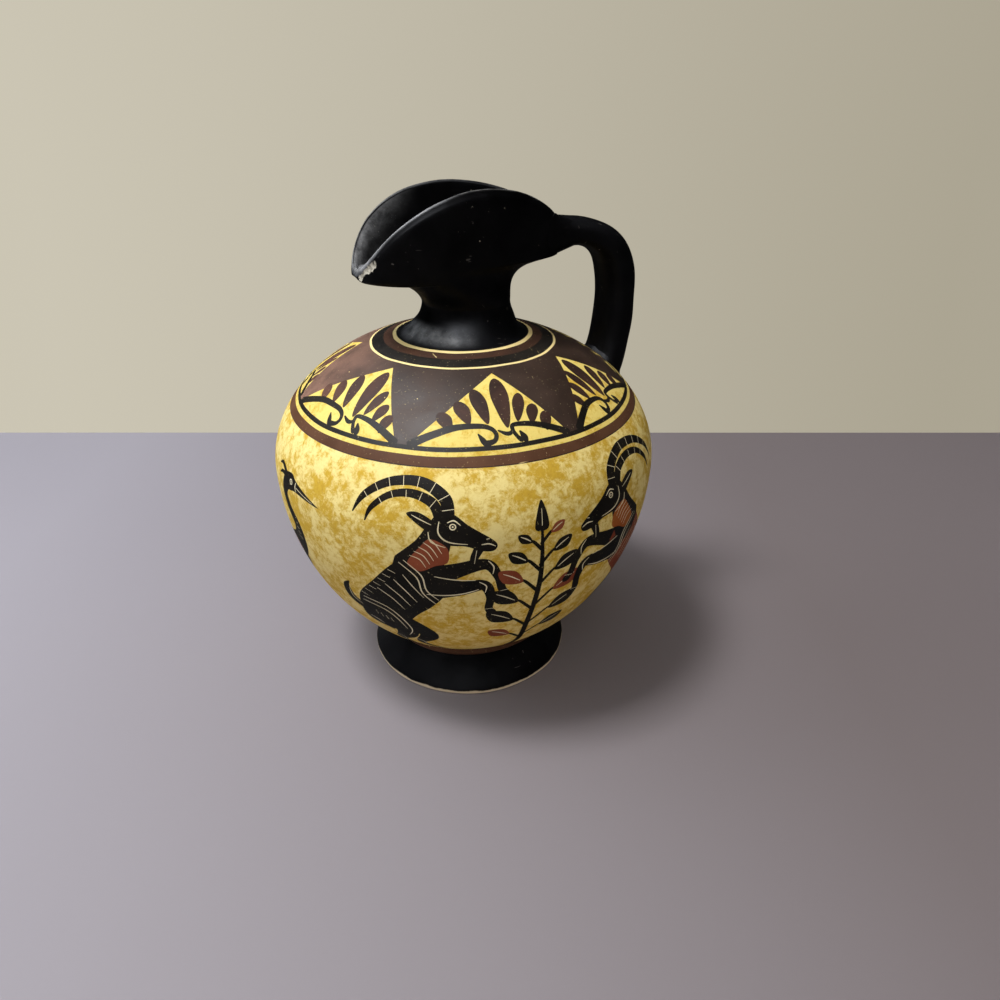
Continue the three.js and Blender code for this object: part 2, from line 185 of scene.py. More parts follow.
def slip_wear():
    """What handling does to slip: nicks to the clay, hair scratches, a dull film, and the brushed height."""
    board, given, out = group(
        "slip_wear",
        [("Vector", "NodeSocketVector"), ("Nicks", "NodeSocketFloat")],
        ["Nicks", "Scratches", "Dust", "Film", "Height"],
    )
    vector = given["Vector"]
    cells = board.add("ShaderNodeTexVoronoi", {"Vector": vector, "Scale": 330.0})
    pick = board.add("ShaderNodeSeparateColor", {"Color": cells.outputs["Color"]}).outputs[0]
    ragged = board.math("MULTIPLY", board.noise(vector, 1500, 3, 0.6), 0.22)
    near = board.spread(board.math("ADD", cells.outputs["Distance"], ragged), 0.19, 0.14)
    chosen = board.math("GREATER_THAN", pick, board.math("SUBTRACT", 1.0, given["Nicks"]))
    board.feed(out["Nicks"], board.math("MULTIPLY", near, chosen))
    hairs = []
    for scale in ((900.0, 60.0, 420.0), (90.0, 700.0, 520.0)):
        streak = board.noise(board.scaled(vector, scale), 1.0, 2, 0.5, 0.4)
        hairs.append(board.spread(streak, 0.735, 0.76))
    sparse = board.spread(board.noise(vector, 36, 2, 0.5), 0.5, 0.62)
    board.feed(out["Scratches"], board.math("MULTIPLY", board.math("MAXIMUM", *hairs), sparse))
    board.feed(out["Dust"], board.spread(board.noise(vector, 1300, 2, 0.5), 0.67, 0.74))
    film_and_sheen = board.noise(vector, 55, 5, 0.6, 0.5)
    board.feed(out["Film"], board.spread(film_and_sheen, 0.38, 0.72))
    brushed = board.noise(board.scaled(vector, (60.0, 60.0, 420.0)), 1.0, 3, 0.5)
    fine = board.noise(vector, 1100, 3, 0.6)
    lumps = board.noise(vector, 120, 2, 0.5)
    height = board.math("ADD", board.math("MULTIPLY", brushed, 0.35), board.math("MULTIPLY", fine, 0.25))
    board.feed(out["Height"], board.math("ADD", height, board.math("MULTIPLY", lumps, 0.5)))
    return board.tree


SPONGE = sponge_marks()
WEAR = slip_wear()


def finish_coat(name, roughness, bump, paint, gloss=0.5):
    """A material whose paint(board, vector) gives its colour, roughness and height."""
    material = bpy.data.materials.new(name)
    material.use_nodes = True
    tree = material.node_tree
    tree.nodes.clear()
    board = Board(tree)
    vector = board.add("ShaderNodeTexCoord").outputs["Object"]
    colour, dull, height = paint(board, vector)
    normal = board.add("ShaderNodeBump", {"Height": height, "Strength": bump, "Distance": 0.0004})
    shader = board.add("ShaderNodeBsdfPrincipled", {"Base Color": colour, "Normal": normal.outputs["Normal"]})
    board.feed(shader.inputs["Roughness"], board.spread(dull, 0.0, 1.0, roughness[0], roughness[1]))
    shader.inputs["Specular IOR Level"].default_value = gloss
    end = board.add("ShaderNodeOutputMaterial")
    tree.links.new(shader.outputs["BSDF"], end.inputs["Surface"])
    return material


def rgb(r, g, b):
    return (r, g, b, 1.0)


CLAY, CREAM = rgb(0.66, 0.55, 0.40), rgb(0.78, 0.64, 0.31)
PALE, OCHRE, DEEP = rgb(0.79, 0.67, 0.28), rgb(0.56, 0.37, 0.043), rgb(0.41, 0.24, 0.022)
SPECK, LOW_WARM = rgb(0.26, 0.18, 0.045), rgb(0.75, 0.36, 0.02)
LOW_WARM_FROM, LOW_WARM_FULL, LOW_WARM_SHARE = 0.105, 0.03, 0.3  # metres between which the ground warms, and how much
SATIN = (0.5, 0.62)  # roughness of most slips, where they are clean and where a film lies on them
PAINTED_LIGHT_SIDE = (-0.8, 0.6, 0.0)  # direction of the side painted paler, as painted light
PAINTED_LIGHT_FROM, PAINTED_LIGHT_FULL = 0.012, 0.045  # metres from the axis, towards that side
CLAY_LINE, CLAY_LINE_BLUR, CLAY_LINE_STRAY = 0.0019, 0.0004, 0.0016  # metres: bare clay ends at this height


def sponged(name, pale, ochre, deep, cover):
    """Pale slip dabbed with ochre, made warmer low on the belly."""

    def paint(board, vector):
        marks = board.place(SPONGE, Vector=vector, Cover=cover)
        colour = board.mix(marks["Blots"], pale, ochre)
        inside = board.math("MULTIPLY", marks["Blots"], marks["Grains"])
        colour = board.mix(board.math("MULTIPLY", inside, 0.55), colour, deep)
        colour = board.mix(board.math("MULTIPLY", marks["Grains"], 0.2), colour, ochre)
        low_warm = board.spread(board.height(vector), LOW_WARM_FROM, LOW_WARM_FULL, 0.0, LOW_WARM_SHARE)
        colour = board.mix(low_warm, colour, LOW_WARM)
        specks = board.math("MULTIPLY", marks["Specks"], 0.55)
        return board.mix(specks, colour, SPECK), marks["Blots"], marks["Height"]

    return finish_coat(name, (0.45, 0.6), 0.35, paint, 0.1)


def slip(name, colour, other, nicks, under=CREAM, roughness=SATIN, gloss=0.12, lit_colour=None):
    """Coloured slip that varies between two colours and shows what is under it where it is nicked. A
    lit colour is painted in patches on one side, as painted light."""

    def paint(board, vector):
        wear = board.place(WEAR, Vector=vector, Nicks=nicks)
        base = board.mix(wear["Film"], colour, other)
        if lit_colour:
            # painted light: paler in patches towards one side
            toward_light = board.spread(board.along(vector, PAINTED_LIGHT_SIDE), PAINTED_LIGHT_FROM, PAINTED_LIGHT_FULL)
            patchy = board.spread(board.noise(vector, 70, 5, 0.65), 0.36, 0.62, 0.35, 1.0)
            base = board.mix(board.math("MULTIPLY", toward_light, patchy), base, lit_colour)
        base = board.mix(board.math("MULTIPLY", wear["Dust"], 0.2), base, under)
        base = board.mix(board.math("MULTIPLY", wear["Scratches"], 0.45), base, under)
        base = board.mix(wear["Nicks"], base, under)
        return base, wear["Film"], wear["Height"]

    return finish_coat(name, roughness, 0.4, paint, gloss)


def black_slip(name, more):
    """Black slip with scratches and nicks. More(board, vector, base, wear) adds what one piece has."""

    def paint(board, vector):
        wear = board.place(WEAR, Vector=vector, Nicks=0.03)
        base = board.mix(wear["Film"], rgb(0.0008, 0.0008, 0.001), rgb(0.003, 0.003, 0.0036))
        base = board.mix(board.math("MULTIPLY", wear["Scratches"], 0.4), base, rgb(0.2, 0.19, 0.18))
        base = board.mix(wear["Nicks"], base, rgb(0.5, 0.45, 0.38))
        return more(board, vector, base, wear), wear["Film"], wear["Height"]

    return finish_coat(name, (0.34, 0.48), 0.4, paint, 0.12)


def handled(board, vector, base, wear):
    """Slip rubbed thin on edges, lightened by a painted bluish sheen with dust specks in it, and broken off
    to the clay, where the mesh is marked so."""
    ragged = board.spread(board.noise(vector, 170, 6, 0.7), 0.38, 0.7)
    base = board.mix(board.math("MULTIPLY", board.mark("rubbed"), ragged), base, rgb(0.24, 0.24, 0.24))
    # painted sheen: where this mark is high, clouds of pale bluish grey stand in for light on the black slip,
    # with real dust specks among them
    sheen_and_dust = board.mark("sheen_and_dust")
    cloud = board.spread(board.noise(vector, 190, 6, 0.7), 0.34, 0.62, 0.3, 1.0)
    base = board.mix(board.math("MULTIPLY", sheen_and_dust, cloud), base, rgb(0.34, 0.356, 0.39))
    base = board.mix(board.math("MULTIPLY", sheen_and_dust, wear["Dust"]), base, rgb(0.4, 0.4, 0.4))
    torn = board.math("MULTIPLY", board.math("SUBTRACT", board.noise(vector, 380, 5, 0.7), 0.5), 2.2)
    flake = board.spread(board.math("ADD", board.mark("broken"), torn), 0.42, 0.55)
    crumbs = board.spread(board.noise(vector, 900, 4, 0.65), 0.35, 0.62)
    fresh = board.mix(crumbs, rgb(0.13, 0.12, 0.10), rgb(0.46, 0.44, 0.38))
    return board.mix(flake, base, fresh)


def bare_at_table(board, vector, base, wear):
    """Bare clay under a ragged line near the table."""
    ragged = board.math("SUBTRACT", board.noise(vector, 120, 5, 0.6), 0.5)
    stray = board.math("MULTIPLY", ragged, CLAY_LINE_STRAY)
    level = board.math("ADD", board.height(vector), stray)
    return board.mix(board.spread(level, CLAY_LINE, CLAY_LINE - CLAY_LINE_BLUR), base, CLAY)


def bare_clay(name):
    """Unslipped fired clay: buff with darker grit."""

    def paint(board, vector):
        marks = board.place(SPONGE, Vector=vector, Cover=0.42)
        colour = board.mix(marks["Blots"], CLAY, rgb(0.5, 0.38, 0.25))
        colour = board.mix(marks["Grains"], colour, rgb(0.72, 0.63, 0.5))
        return colour, marks["Grains"], marks["Height"]

    return finish_coat(name, (0.75, 0.9), 0.6, paint)


COATS = {
    "ground": sponged("sponged_ground", PALE, OCHRE, DEEP, 0.53),
    "panel": sponged("palmette_ground", rgb(0.70, 0.57, 0.17), rgb(0.55, 0.375, 0.05), DEEP, 0.47),
    "black": slip(
        "figure_black", rgb(0.005, 0.0042, 0.0035), rgb(0.013, 0.0105, 0.008), 0.02, roughness=(0.45, 0.6)
    ),
    "line": slip(
        "cut_line", rgb(0.78, 0.71, 0.5), rgb(0.62, 0.54, 0.34), 0.05, rgb(0.3, 0.25, 0.17), (0.7, 0.8)
    ),
    "orange": slip("orange_slip", rgb(0.30, 0.075, 0.012), rgb(0.36, 0.11, 0.022), 0.02),
    "red": slip("rust_slip", rgb(0.20, 0.042, 0.018), rgb(0.26, 0.07, 0.032), 0.02),
    # the plum and petal slips carry a paler colour on one side, as painted light
    "plum": slip(
        "plum_slip", rgb(0.016, 0.009, 0.006), rgb(0.033, 0.0185, 0.0125), 0.06, roughness=(0.5, 0.64),
        gloss=0.23, lit_colour=rgb(0.19, 0.106, 0.078),
    ),
    "petal": slip(
        "petal_brown", rgb(0.018, 0.010, 0.008), rgb(0.058, 0.028, 0.02), 0.03, lit_colour=rgb(0.1, 0.048, 0.036)
    ),
    "brown": slip("brown_band", rgb(0.062, 0.027, 0.014), rgb(0.10, 0.047, 0.026), 0.03),
    "russet": slip("russet_band", rgb(0.05, 0.023, 0.014), rgb(0.024, 0.0135, 0.0095), 0.03),
    "cream": slip("cream_ring", CREAM, rgb(0.74, 0.60, 0.28), 0.02, rgb(0.4, 0.3, 0.16)),
    "clay": bare_clay("bare_clay"),
}
BLACK_PIECE = black_slip("black_slip", handled)
BLACK_FOOT = black_slip("black_slip_foot", bare_at_table)

# Mesh helpers

SHARP_ANGLE = 40  # degrees


def make(name, points, faces, coats, paints=None, normals=None, marks=None):
    """A mesh piece from millimetre points. Paints are slot numbers, normals are given per corner, and
    marks are named values per point."""
    mesh = bpy.data.meshes.new(name)
    mesh.from_pydata([Vector(p) * MM for p in points], [], faces)
    for coat in coats:
        mesh.materials.append(coat)
    mesh.polygons.foreach_set("use_smooth", [True] * len(faces))
    if paints:
        mesh.polygons.foreach_set("material_index", paints)
    for label, values in (marks or {}).items():
        mesh.attributes.new(label, "FLOAT", "POINT").data.foreach_set("value", values)
    if normals:
        mesh.normals_split_custom_set(normals)
    else:
        mesh.set_sharp_from_angle(angle=math.radians(SHARP_ANGLE))
    piece = bpy.data.objects.new(name, mesh)
    bpy.context.scene.collection.objects.link(piece)
    return piece


def settle(piece, node):
    """The piece stands for this node of the part."""
    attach(piece, "root")
    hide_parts(node)


def band_faces(rings, count, closed):
    """Quads between rings of the same count; a closed stack joins its last ring to its first."""
    faces = []
    for k in range(rings if closed else rings - 1):
        low, high = k * count, ((k + 1) % rings) * count
        for i in range(count):
            j = (i + 1) % count
            faces.append((low + i, low + j, high + j, high + i))
    return faces


def turned(name, profile, columns, coat, wobble=0.0, shift=None, marks=None):
    """A closed profile of (radius, height) pairs, anticlockwise, turned about the axis. Marks give named
    values from a point."""
    points = []
    for r, z in profile:
        for i in range(columns):
            a = TURN * i / columns
            p = Vector((r * math.cos(a), r * math.sin(a), z))
            if wobble:
                p *= 1 + wobble * noise.noise(p * 0.05) / max(r, 1.0)
                p.z = z
            if shift:
                p.x += shift(z)
            points.append(p)
    values = {label: [value(p) for p in points] for label, value in (marks or {}).items()}
    return make(name, points, band_faces(len(profile), columns, True), [coat], marks=values)


def arc(centre, radius, start, end, steps, squash=1.0):
    """Points of an arc, angles in degrees."""
    out = []
    for i in range(steps + 1):
        a = math.radians(lerp(start, end, i / steps))
        out.append((centre[0] + radius * math.cos(a), centre[1] + radius * squash * math.sin(a)))
    return out


# Brush marks: outlines in millimetres

THINNEST, POINTED = 0.06, 0.3  # half-widths: no stroke is thinner, and a thinner end isn't rounded
CUT, FINE_CUT, FINEST_CUT = 0.27, 0.22, 0.2  # half-widths of the lines scratched through the slip


def between(p, q, r, s, t):
    """A smooth way from q to r, with p before them and s after."""
    bend, twist = 2 * p - 5 * q + 4 * r - s, 3 * q - p - 3 * r + s
    return 0.5 * (2 * q + (r - p) * t + bend * t * t + twist * t**3)


def spline(points, per, ring=False):
    """A smooth line through the points; a ring returns to its start."""
    n = len(points)
    out = []
    for i in range(n if ring else n - 1):
        four = [points[j % n if ring else min(n - 1, max(0, j))] for j in range(i - 1, i + 3)]
        for k in range(per):
            out.append(tuple(between(*values, k / per) for values in zip(*four)))
    return out if ring else out + [tuple(points[-1])]


def brush(*points, per=8):
    """Outline of a brush stroke through (x, y, half-width) points, with round ends."""
    line = spline(points, per)
    last = len(line) - 1
    left, right = [], []
    for i, (x, y, w) in enumerate(line):
        before, after = line[max(0, i - 1)], line[min(last, i + 1)]
        along = Vector((after[0] - before[0], after[1] - before[1])).normalized()
        w = max(w, THINNEST)
        left.append((x - along.y * w, y + along.x * w))
        right.append((x + along.y * w, y - along.x * w))

    def cap(k, beside):
        x, y, w = line[k]
        if w < POINTED:
            return []
        heading = math.atan2(y - line[beside][1], x - line[beside][0])
        steps = 5 if w > 1 else 3
        turns = [heading + math.pi * (0.5 - j / steps) for j in range(1, steps)]
        return [(x + w * math.cos(a), y + w * math.sin(a)) for a in turns]

    return left + cap(last, last - 1) + right[::-1] + cap(0, 1)


def dot(x, y, radius):
    turns = [TURN * k / 12 for k in range(12)]
    return [(x + radius * math.cos(a), y + radius * math.sin(a)) for a in turns]


class Drawing:
    """Brush marks in the order they were made, each with the name of its paint."""

    def __init__(self):
        self.marks = []

    def stroke(self, paint, *points):
        self.marks.append((paint, brush(*points)))

    def black(self, *points):
        self.stroke("black", *points)

    def body(self, paint, *points):
        """A filled shape through the points."""
        self.marks.append((paint, spline(points, 7, ring=True)))

    def cut(self, *points, w=CUT):
        """A line scratched through the slip, thinner at its ends."""
        shares = [0.55] + [1.0] * (len(points) - 2) + [0.45]
        self.marks.append(("line", brush(*[(x, y, w * s) for (x, y), s in zip(points, shares)], per=6)))

    def ticks(self, rows):
        for x0, y0, x1, y1 in rows:
            self.cut((x0, y0), (x1, y1), w=FINE_CUT)

    def eye(self, x, y, size=1.35):
        for paint, share in (("line", 1.0), ("black", 0.66), ("line", 0.27)):
            self.marks.append((paint, dot(x, y, size * share)))

    def moved(self, place):
        return [(paint, [place(x, y) for x, y in outline]) for paint, outline in self.marks]


def rearing_goat(coat, patch):
    """A wild goat that rears towards +x, its hind hooves at y = 0. Coat and patch are paints."""
    d = Drawing()
    d.black((-8, 34, 9), (4, 25, 5), (-2.5, 13, 2.3), (1.5, 4.5, 1.7), (4.5, 1, 2.1))
    d.black((10, 66, 6), (21, 70.5, 3.6), (32, 73, 2.5), (36.5, 67, 1.8), (38, 60, 1.7), (39.5, 57, 1.9))
    d.black((-23, 38, 2.6), (-29, 43, 2.6), (-30, 50, 1.8), (-27.5, 54, 0.4))
    d.body(
        coat, (-26, 36), (-23, 49), (-14, 60), (-5, 70), (4, 77), (13, 75), (18, 67), (16, 58), (10, 50),
        (3, 43), (-3, 35), (-9, 27), (-18, 25), (-25, 29),
    )
    d.stroke(coat, (-15, 35, 10.5), (-7, 24.5, 6.2), (-12, 14.5, 3))
    d.black((-8.6, 19.4, 3.6), (-13.5, 12.5, 2.6), (-11, 4.5, 1.8), (-8, 1, 2.3))
    d.black((5, 70, 9), (11.5, 79, 7), (15, 87, 5.2))
    d.black((12, 62, 7), (22, 61.5, 4), (31, 62.5, 2.7), (33.5, 56, 1.9), (32.5, 49, 1.7), (33.5, 46, 2.0))
    d.body(
        "black", (11, 88), (14, 94), (20, 94.5), (26, 90), (34, 84.5), (36.5, 81.5), (35, 79), (30.5, 79.3),
        (25, 81.5), (19, 82), (13, 83),
    )
    d.black((29.5, 80, 1.9), (27.5, 75, 1.4), (28, 70.5, 0.3))
    d.body("black", (13.5, 91), (7.5, 94.6), (3, 93.8), (6.5, 90.6), (11.5, 87.6))
    d.black(
        (18.5, 93, 2.4), (17, 100, 2.3), (8, 105.5, 2), (-4, 104.5, 1.7), (-14, 98.5, 1.3), (-19, 91, 0.3)
    )
    d.black(
        (15.5, 93, 2.1), (12.4, 98.4, 1.9), (4.6, 101.2, 1.6), (-4, 99.6, 1.3), (-11, 94, 1.0),
        (-13.6, 88.6, 0.3),
    )
    d.body(patch, (2.5, 73), (8, 81), (12, 84.5), (18, 81), (18, 74.5), (13, 72.5), (7, 69.5))
    d.cut((-1, 72.6), (5.5, 66), (7, 58), (11.5, 52))
    d.cut((1, 74), (7.4, 67.4), (8.8, 59.6), (13, 54.4))
    d.cut((8.6, 57.4), (16, 57.4), (23, 58.4), (29, 60.4))
    d.cut((12.4, 67.4), (20, 66), (28, 65.4))
    d.cut((-21.6, 47.6), (-11, 44.6), (-5.4, 37.6), (-3, 28), (-6.6, 20))
    d.cut((-22.6, 44.8), (-12.6, 42), (-7.6, 36), (-5.2, 28))
    d.cut((-23.6, 31.6), (-20, 29.8), (-17.4, 26.8))
    for k in range(4):
        d.cut(
            (-12.6 + 4.2 * k, 56.4 + 3.4 * k), (-6.6 + 3.4 * k, 51.6 + 3 * k),
            (-2.4 + 3.2 * k, 45.4 + 3.2 * k), w=FINE_CUT,
        )
    d.ticks([(-21.6 + 2.6 * k, 50.6 + 2.9 * k, -18.6 + 2.6 * k, 49.2 + 2.9 * k) for k in range(7)])
    d.ticks([(-18 + 2.2 * k, 39 - 1.2 * k, -17.4 + 2.2 * k, 36 - 1.2 * k) for k in range(4)])
    for k in range(5):
        d.cut(
            (3.6 + 1.9 * k, 76.6 + 2.1 * k), (7.4 + 1.6 * k, 75.2 + 1.8 * k),
            (9.6 + 1.6 * k, 71.6 + 1.7 * k), w=FINEST_CUT,
        )
    d.cut((11.2, 87.4), (12.2, 83.4), (17.4, 81.2))
    d.eye(20.2, 89.6, 1.3)
    d.cut((18.2, 91.2), (20.6, 92), (23, 90.2))
    d.cut((15.2, 91.6), (15, 87), (18.4, 83.6), (25.6, 82.4))
    d.cut((30.6, 82), (33.4, 82.2), (35.8, 81))
    d.cut((32.4, 84.2), (33.6, 84.4))
    d.cut((28.8, 79.6), (27.8, 73.6), w=FINEST_CUT)
    d.cut((5, 93.4), (8.6, 91.8), (12.4, 90.2), w=FINEST_CUT)
    d.ticks(
        [
            (16.2, 95.6, 20.6, 96.2), (14.6, 99.2, 18.8, 101.6), (11.2, 101.6, 13.4, 105.8),
            (6.4, 103.2, 7, 107.4), (1.2, 103.4, 0.8, 107.2), (-4, 102.6, -5, 106),
            (-8.6, 100.4, -10.4, 103.2), (-12.6, 97.4, -14.6, 99.4), (11.6, 96.6, 13.8, 99.4),
            (7.4, 98.6, 8.6, 101.8), (2.6, 99.2, 2.4, 102.2), (-2.4, 98.6, -3.4, 101), (-6.8, 96.2, -8.2, 98),
        ]
    )
    d.cut((29.4, 64.4), (32, 62), (31.4, 58.4))
    d.cut((33, 74.6), (35, 71.6), (34.6, 68))
    d.cut((-15.4, 17.4), (-11.6, 13.4), (-12.6, 8.6))
    d.cut((-4.4, 17), (-1.2, 13.4), (-1, 9))
    d.ticks([(31, 48.2, 34.6, 48.4), (37, 58.6, 40.8, 59.2), (-12.4, 3.8, -8.4, 3), (0.4, 3.6, 4.2, 3.2)])
    d.cut((-24.4, 40), (-28.4, 43.8), (-28.8, 49.6), w=FINEST_CUT)
    return d


def crane():
    """A crane that walks towards +x with its head raised."""
    d = Drawing()
    d.black((-1, 40, 3.2), (-4, 28, 1.5), (-2.5, 20, 1.7), (-7, 3, 1.1))
    d.black((-8.5, 2.6, 1.2), (-3, 1.4, 1), (3, 0.8, 0.4))
    d.black((-6, 2.4, 1), (-12, 1, 0.4))
    d.black((6, 40, 3.2), (11, 29, 1.5), (9.5, 21, 1.7), (13, 4, 1.1))
    d.black((11, 3, 1.2), (17, 1.6, 1), (23, 0.8, 0.4))
    d.black((13, 3, 1), (7, 1, 0.4))
    for x, y in ((-27, 31), (-29, 36), (-29, 41)):
        d.black((-10, 46, 4), ((x - 16) / 2, (46 + y) / 2 + 2, 3.3), (x, y, 0.6))
    d.body(
        "black", (-20, 43), (-10, 53), (2, 58), (13, 58), (19, 52), (17, 44), (9, 38), (-2, 36.5), (-12, 38)
    )
    d.black(
        (11, 52, 7), (20, 59, 5), (22, 67, 3.4), (17, 74, 2.7), (15, 80, 2.6), (18, 85.5, 3.4),
        (21.5, 86.5, 3.2),
    )
    d.body(
        "black", (17, 88.5), (22, 90), (26, 88), (39, 83.5), (40, 82.6), (26, 83.6), (20, 82.5), (16, 84.5)
    )
    d.black((17, 88, 1.2), (12, 90.5, 0.9), (8.5, 89.5, 0.3))
    d.black((17.5, 87, 1), (12.5, 87.2, 0.8), (9.5, 85.8, 0.3))
    d.body(
        "red", (12, 55), (5, 55.5), (-6, 50.5), (-18, 42.5), (-22, 38.5), (-12, 40), (0, 42), (9, 45.5),
        (13, 50),
    )
    d.cut((12.6, 55.4), (4.5, 56), (-7, 51), (-19, 43), (-23, 38.6))
    d.cut((-22.5, 38.4), (-12, 39.6), (0, 41.6), (9.4, 45), (13.4, 50), (12.6, 55.4))
    d.cut((4, 55.4), (6.6, 51.5), (5.6, 47.5), (2.4, 43))
    d.cut((1.6, 54.6), (4, 51), (3, 47), (0, 42.6))
    for k in range(4):
        d.cut(
            (2.6 - 1.2 * k, 51.5 - 1.9 * k), (-6 - 1.4 * k, 48.2 - 1.9 * k), (-14 - 1.5 * k, 43.4 - k),
            w=FINE_CUT,
        )
    d.eye(21.6, 86.4, 1.2)
    d.cut((25.6, 87.6), (25.2, 85.6), (26, 83.8))
    d.ticks([(26, 85.6, 37.5, 83.3)])
    d.ticks([(19.6 + 0.5 * k, 61.5 + 2.3 * k, 23 - 0.2 * k, 60.8 + 2.5 * k) for k in range(5)])
    for x, y in ((-25.5, 32.4), (-27, 36.6), (-27, 40.8)):
        d.cut((-13, 44), ((x - 15) / 2, (44 + y) / 2 + 0.8), (x, y), w=FINE_CUT)
    d.ticks([(-3.6, 21.6, -1.2, 20.6), (8.4, 22.4, 10.8, 21.6)])
    return d


def cockerel():
    """A cockerel that faces -x."""
    d = Drawing()
    for x, thigh in ((-6, -2), (9, 8)):
        d.black((thigh, 36, 6), (x + 2, 26, 3.5), (x + 0.4, 17, 1.6), (x, 4, 1.3))
        d.black((x + 1, 3.2, 1.3), (x - 5, 1.8, 1.1), (x - 11, 0.8, 0.4))
        d.black((x, 3, 1.2), (x + 5.2, 0.9, 0.4))
        d.black((x + 0.4, 9, 1), (x + 4.4, 10.5, 0.3))
    d.black((14, 50, 6), (24, 66, 4), (35, 71, 3), (42, 62, 2), (42, 50, 0.4))
    d.black((14, 52, 6), (20, 70, 4), (32, 80, 3), (42, 76, 2.2), (47, 66, 0.4))
    d.black((12, 54, 6), (15, 72, 4), (24, 86, 3), (35, 88, 2.2), (43, 83, 0.4))
    d.black((16, 47, 6), (26, 57, 4), (34, 60, 2.6), (36, 52, 1.8), (35, 44, 0.4))
    d.black((16, 44, 5), (25, 49, 3.2), (30, 48, 2), (30, 41, 0.4))
    d.body(
        "black", (-20, 52), (-17, 42), (-8, 34), (4, 32), (15, 36), (22, 45), (20, 54), (10, 54), (0, 54),
        (-8, 60), (-17, 60),
    )
    d.black((-10, 52, 10), (-13, 63, 7), (-14, 73, 5), (-15, 79, 4.6), (-18, 81, 3.6))
    d.body("black", (-20, 83.5), (-24, 81), (-29.5, 78.6), (-24, 77.6), (-20, 77))
    d.body(
        "red", (-21, 83), (-23, 88), (-20.4, 87), (-19.4, 91), (-16.8, 87.8), (-14.6, 91.4), (-13.2, 87),
        (-9.8, 88.6), (-10.6, 83.6), (-15, 84),
    )
    d.body("red", (-20.5, 77.4), (-23, 71.5), (-21, 68.6), (-18.6, 71), (-17.4, 76))
    d.body(
        "red", (-14, 50), (-6, 52.5), (4, 51), (14, 50.5), (23, 54), (17, 45), (8, 38.5), (-3, 38), (-12, 43)
    )
    d.eye(-17.8, 80.4)
    d.cut((-23, 81), (-22.6, 79), (-23.4, 77.7))
    d.ticks([(-23, 79.2, -28.4, 78.7)])
    d.cut((-14.6, 50.4), (-6, 53.2), (4, 51.8), (14, 51.2), (23.6, 54.6))
    d.cut((-14.6, 50.4), (-12.4, 42.4), (-3, 37.4), (8, 37.9), (17.6, 44.6), (23.6, 54.6))
    d.cut((-4, 52.6), (-1, 47), (-3.4, 38.4))
    d.cut((-1.8, 52.4), (1.2, 47), (-1, 38.2))
    for k in range(4):
        d.cut(
            (2.4 + 0.4 * k, 49.6 - 3 * k), (9 + 0.3 * k, 48.6 - 2.5 * k), (17.6 - 0.6 * k, 50.2 - 1.7 * k),
            w=FINE_CUT,
        )
    d.ticks([(-19.4 + 3 * k, 59.8 - 0.8 * k, -18 + 2.7 * k, 65 - 0.3 * k) for k in range(5)])
    d.ticks([(-18.6 + 2.7 * k, 66.5 - 0.4 * k, -17.6 + 2.2 * k, 71.5) for k in range(5)])
    d.cut((19, 58), (27, 67.5), (35, 68.4), (40.4, 61), (41.6, 53))
    d.cut((17.4, 62), (22.6, 72), (32, 77.6), (40, 74), (45, 68))
    d.cut((15, 64), (18.4, 75), (25.4, 84), (34.4, 85.8), (41, 83))
    d.cut((21.6, 53), (28, 58), (33.4, 57.4), (34.8, 48))
    d.ticks([(x, y, x + 2, y - 2.6) for x, y in ((-15, 41), (-10, 37), (-4, 35), (2, 34.6))])
    for x in (-5.6, 9):
        d.ticks([(x - 1.3, 14 - 2.6 * k, x + 1.2, 13.7 - 2.6 * k) for k in range(3)])
    return d


def sapling():
    """A young tree with leaves in pairs."""
    d = Drawing()
    d.black((-1, 0.6, 2.6), (0.4, 10, 1.5), (-0.5, 30, 1.2), (0.6, 55, 1), (0, 76, 0.5))
    for k, (y, reach) in enumerate(((14, 15), (26, 17), (38, 16), (49, 14), (59, 11), (68, 8))):
        for side in (-1, 1):
            root = y + (2.4 if side > 0 else 0)

            def at(x, up):
                return (side * reach * x, root + reach * up)

            d.black((0, root, 0.7), (*at(0.35, 0.42), 0.6), (*at(0.5, 0.5), 0.5))
            paint = "red" if (k + (side > 0)) % 3 == 0 else "black"
            d.body(paint, at(0.42, 0.42), at(0.62, 0.82), at(1.05, 0.86), at(0.9, 0.46))
            d.cut(at(0.5, 0.5), at(0.72, 0.66), at(0.94, 0.78), w=FINE_CUT)
    d.body("black", (-2.6, 77), (0, 75), (2.6, 77), (0.2, 86))
    d.cut((0, 77), (0.1, 83), w=FINE_CUT)
    return d


PALMETTE_LEFT, PALMETTE_RIGHT = 32.9, 22.1  # base for which the palmette is drawn; a wider one spreads it
LEFT_PETALS = (((-8.0, 22.0), (-6.4, 7.6)), ((-14.0, 17.0), (-12.2, 7.8)), ((-20.3, 12.6), (-18.4, 5.6)))
RIGHT_PETALS = (((6.9, 18.4), (3.6, 7.4)), ((10.8, 13.2), (8.6, 5.9)), ((14.6, 9.6), (13.8, 2.4)))
PETAL_SWELL = ((0.1, 0.42), (0.32, 0.8), (0.62, 1.06), (0.88, 0.74))  # places from foot to tip, and widths


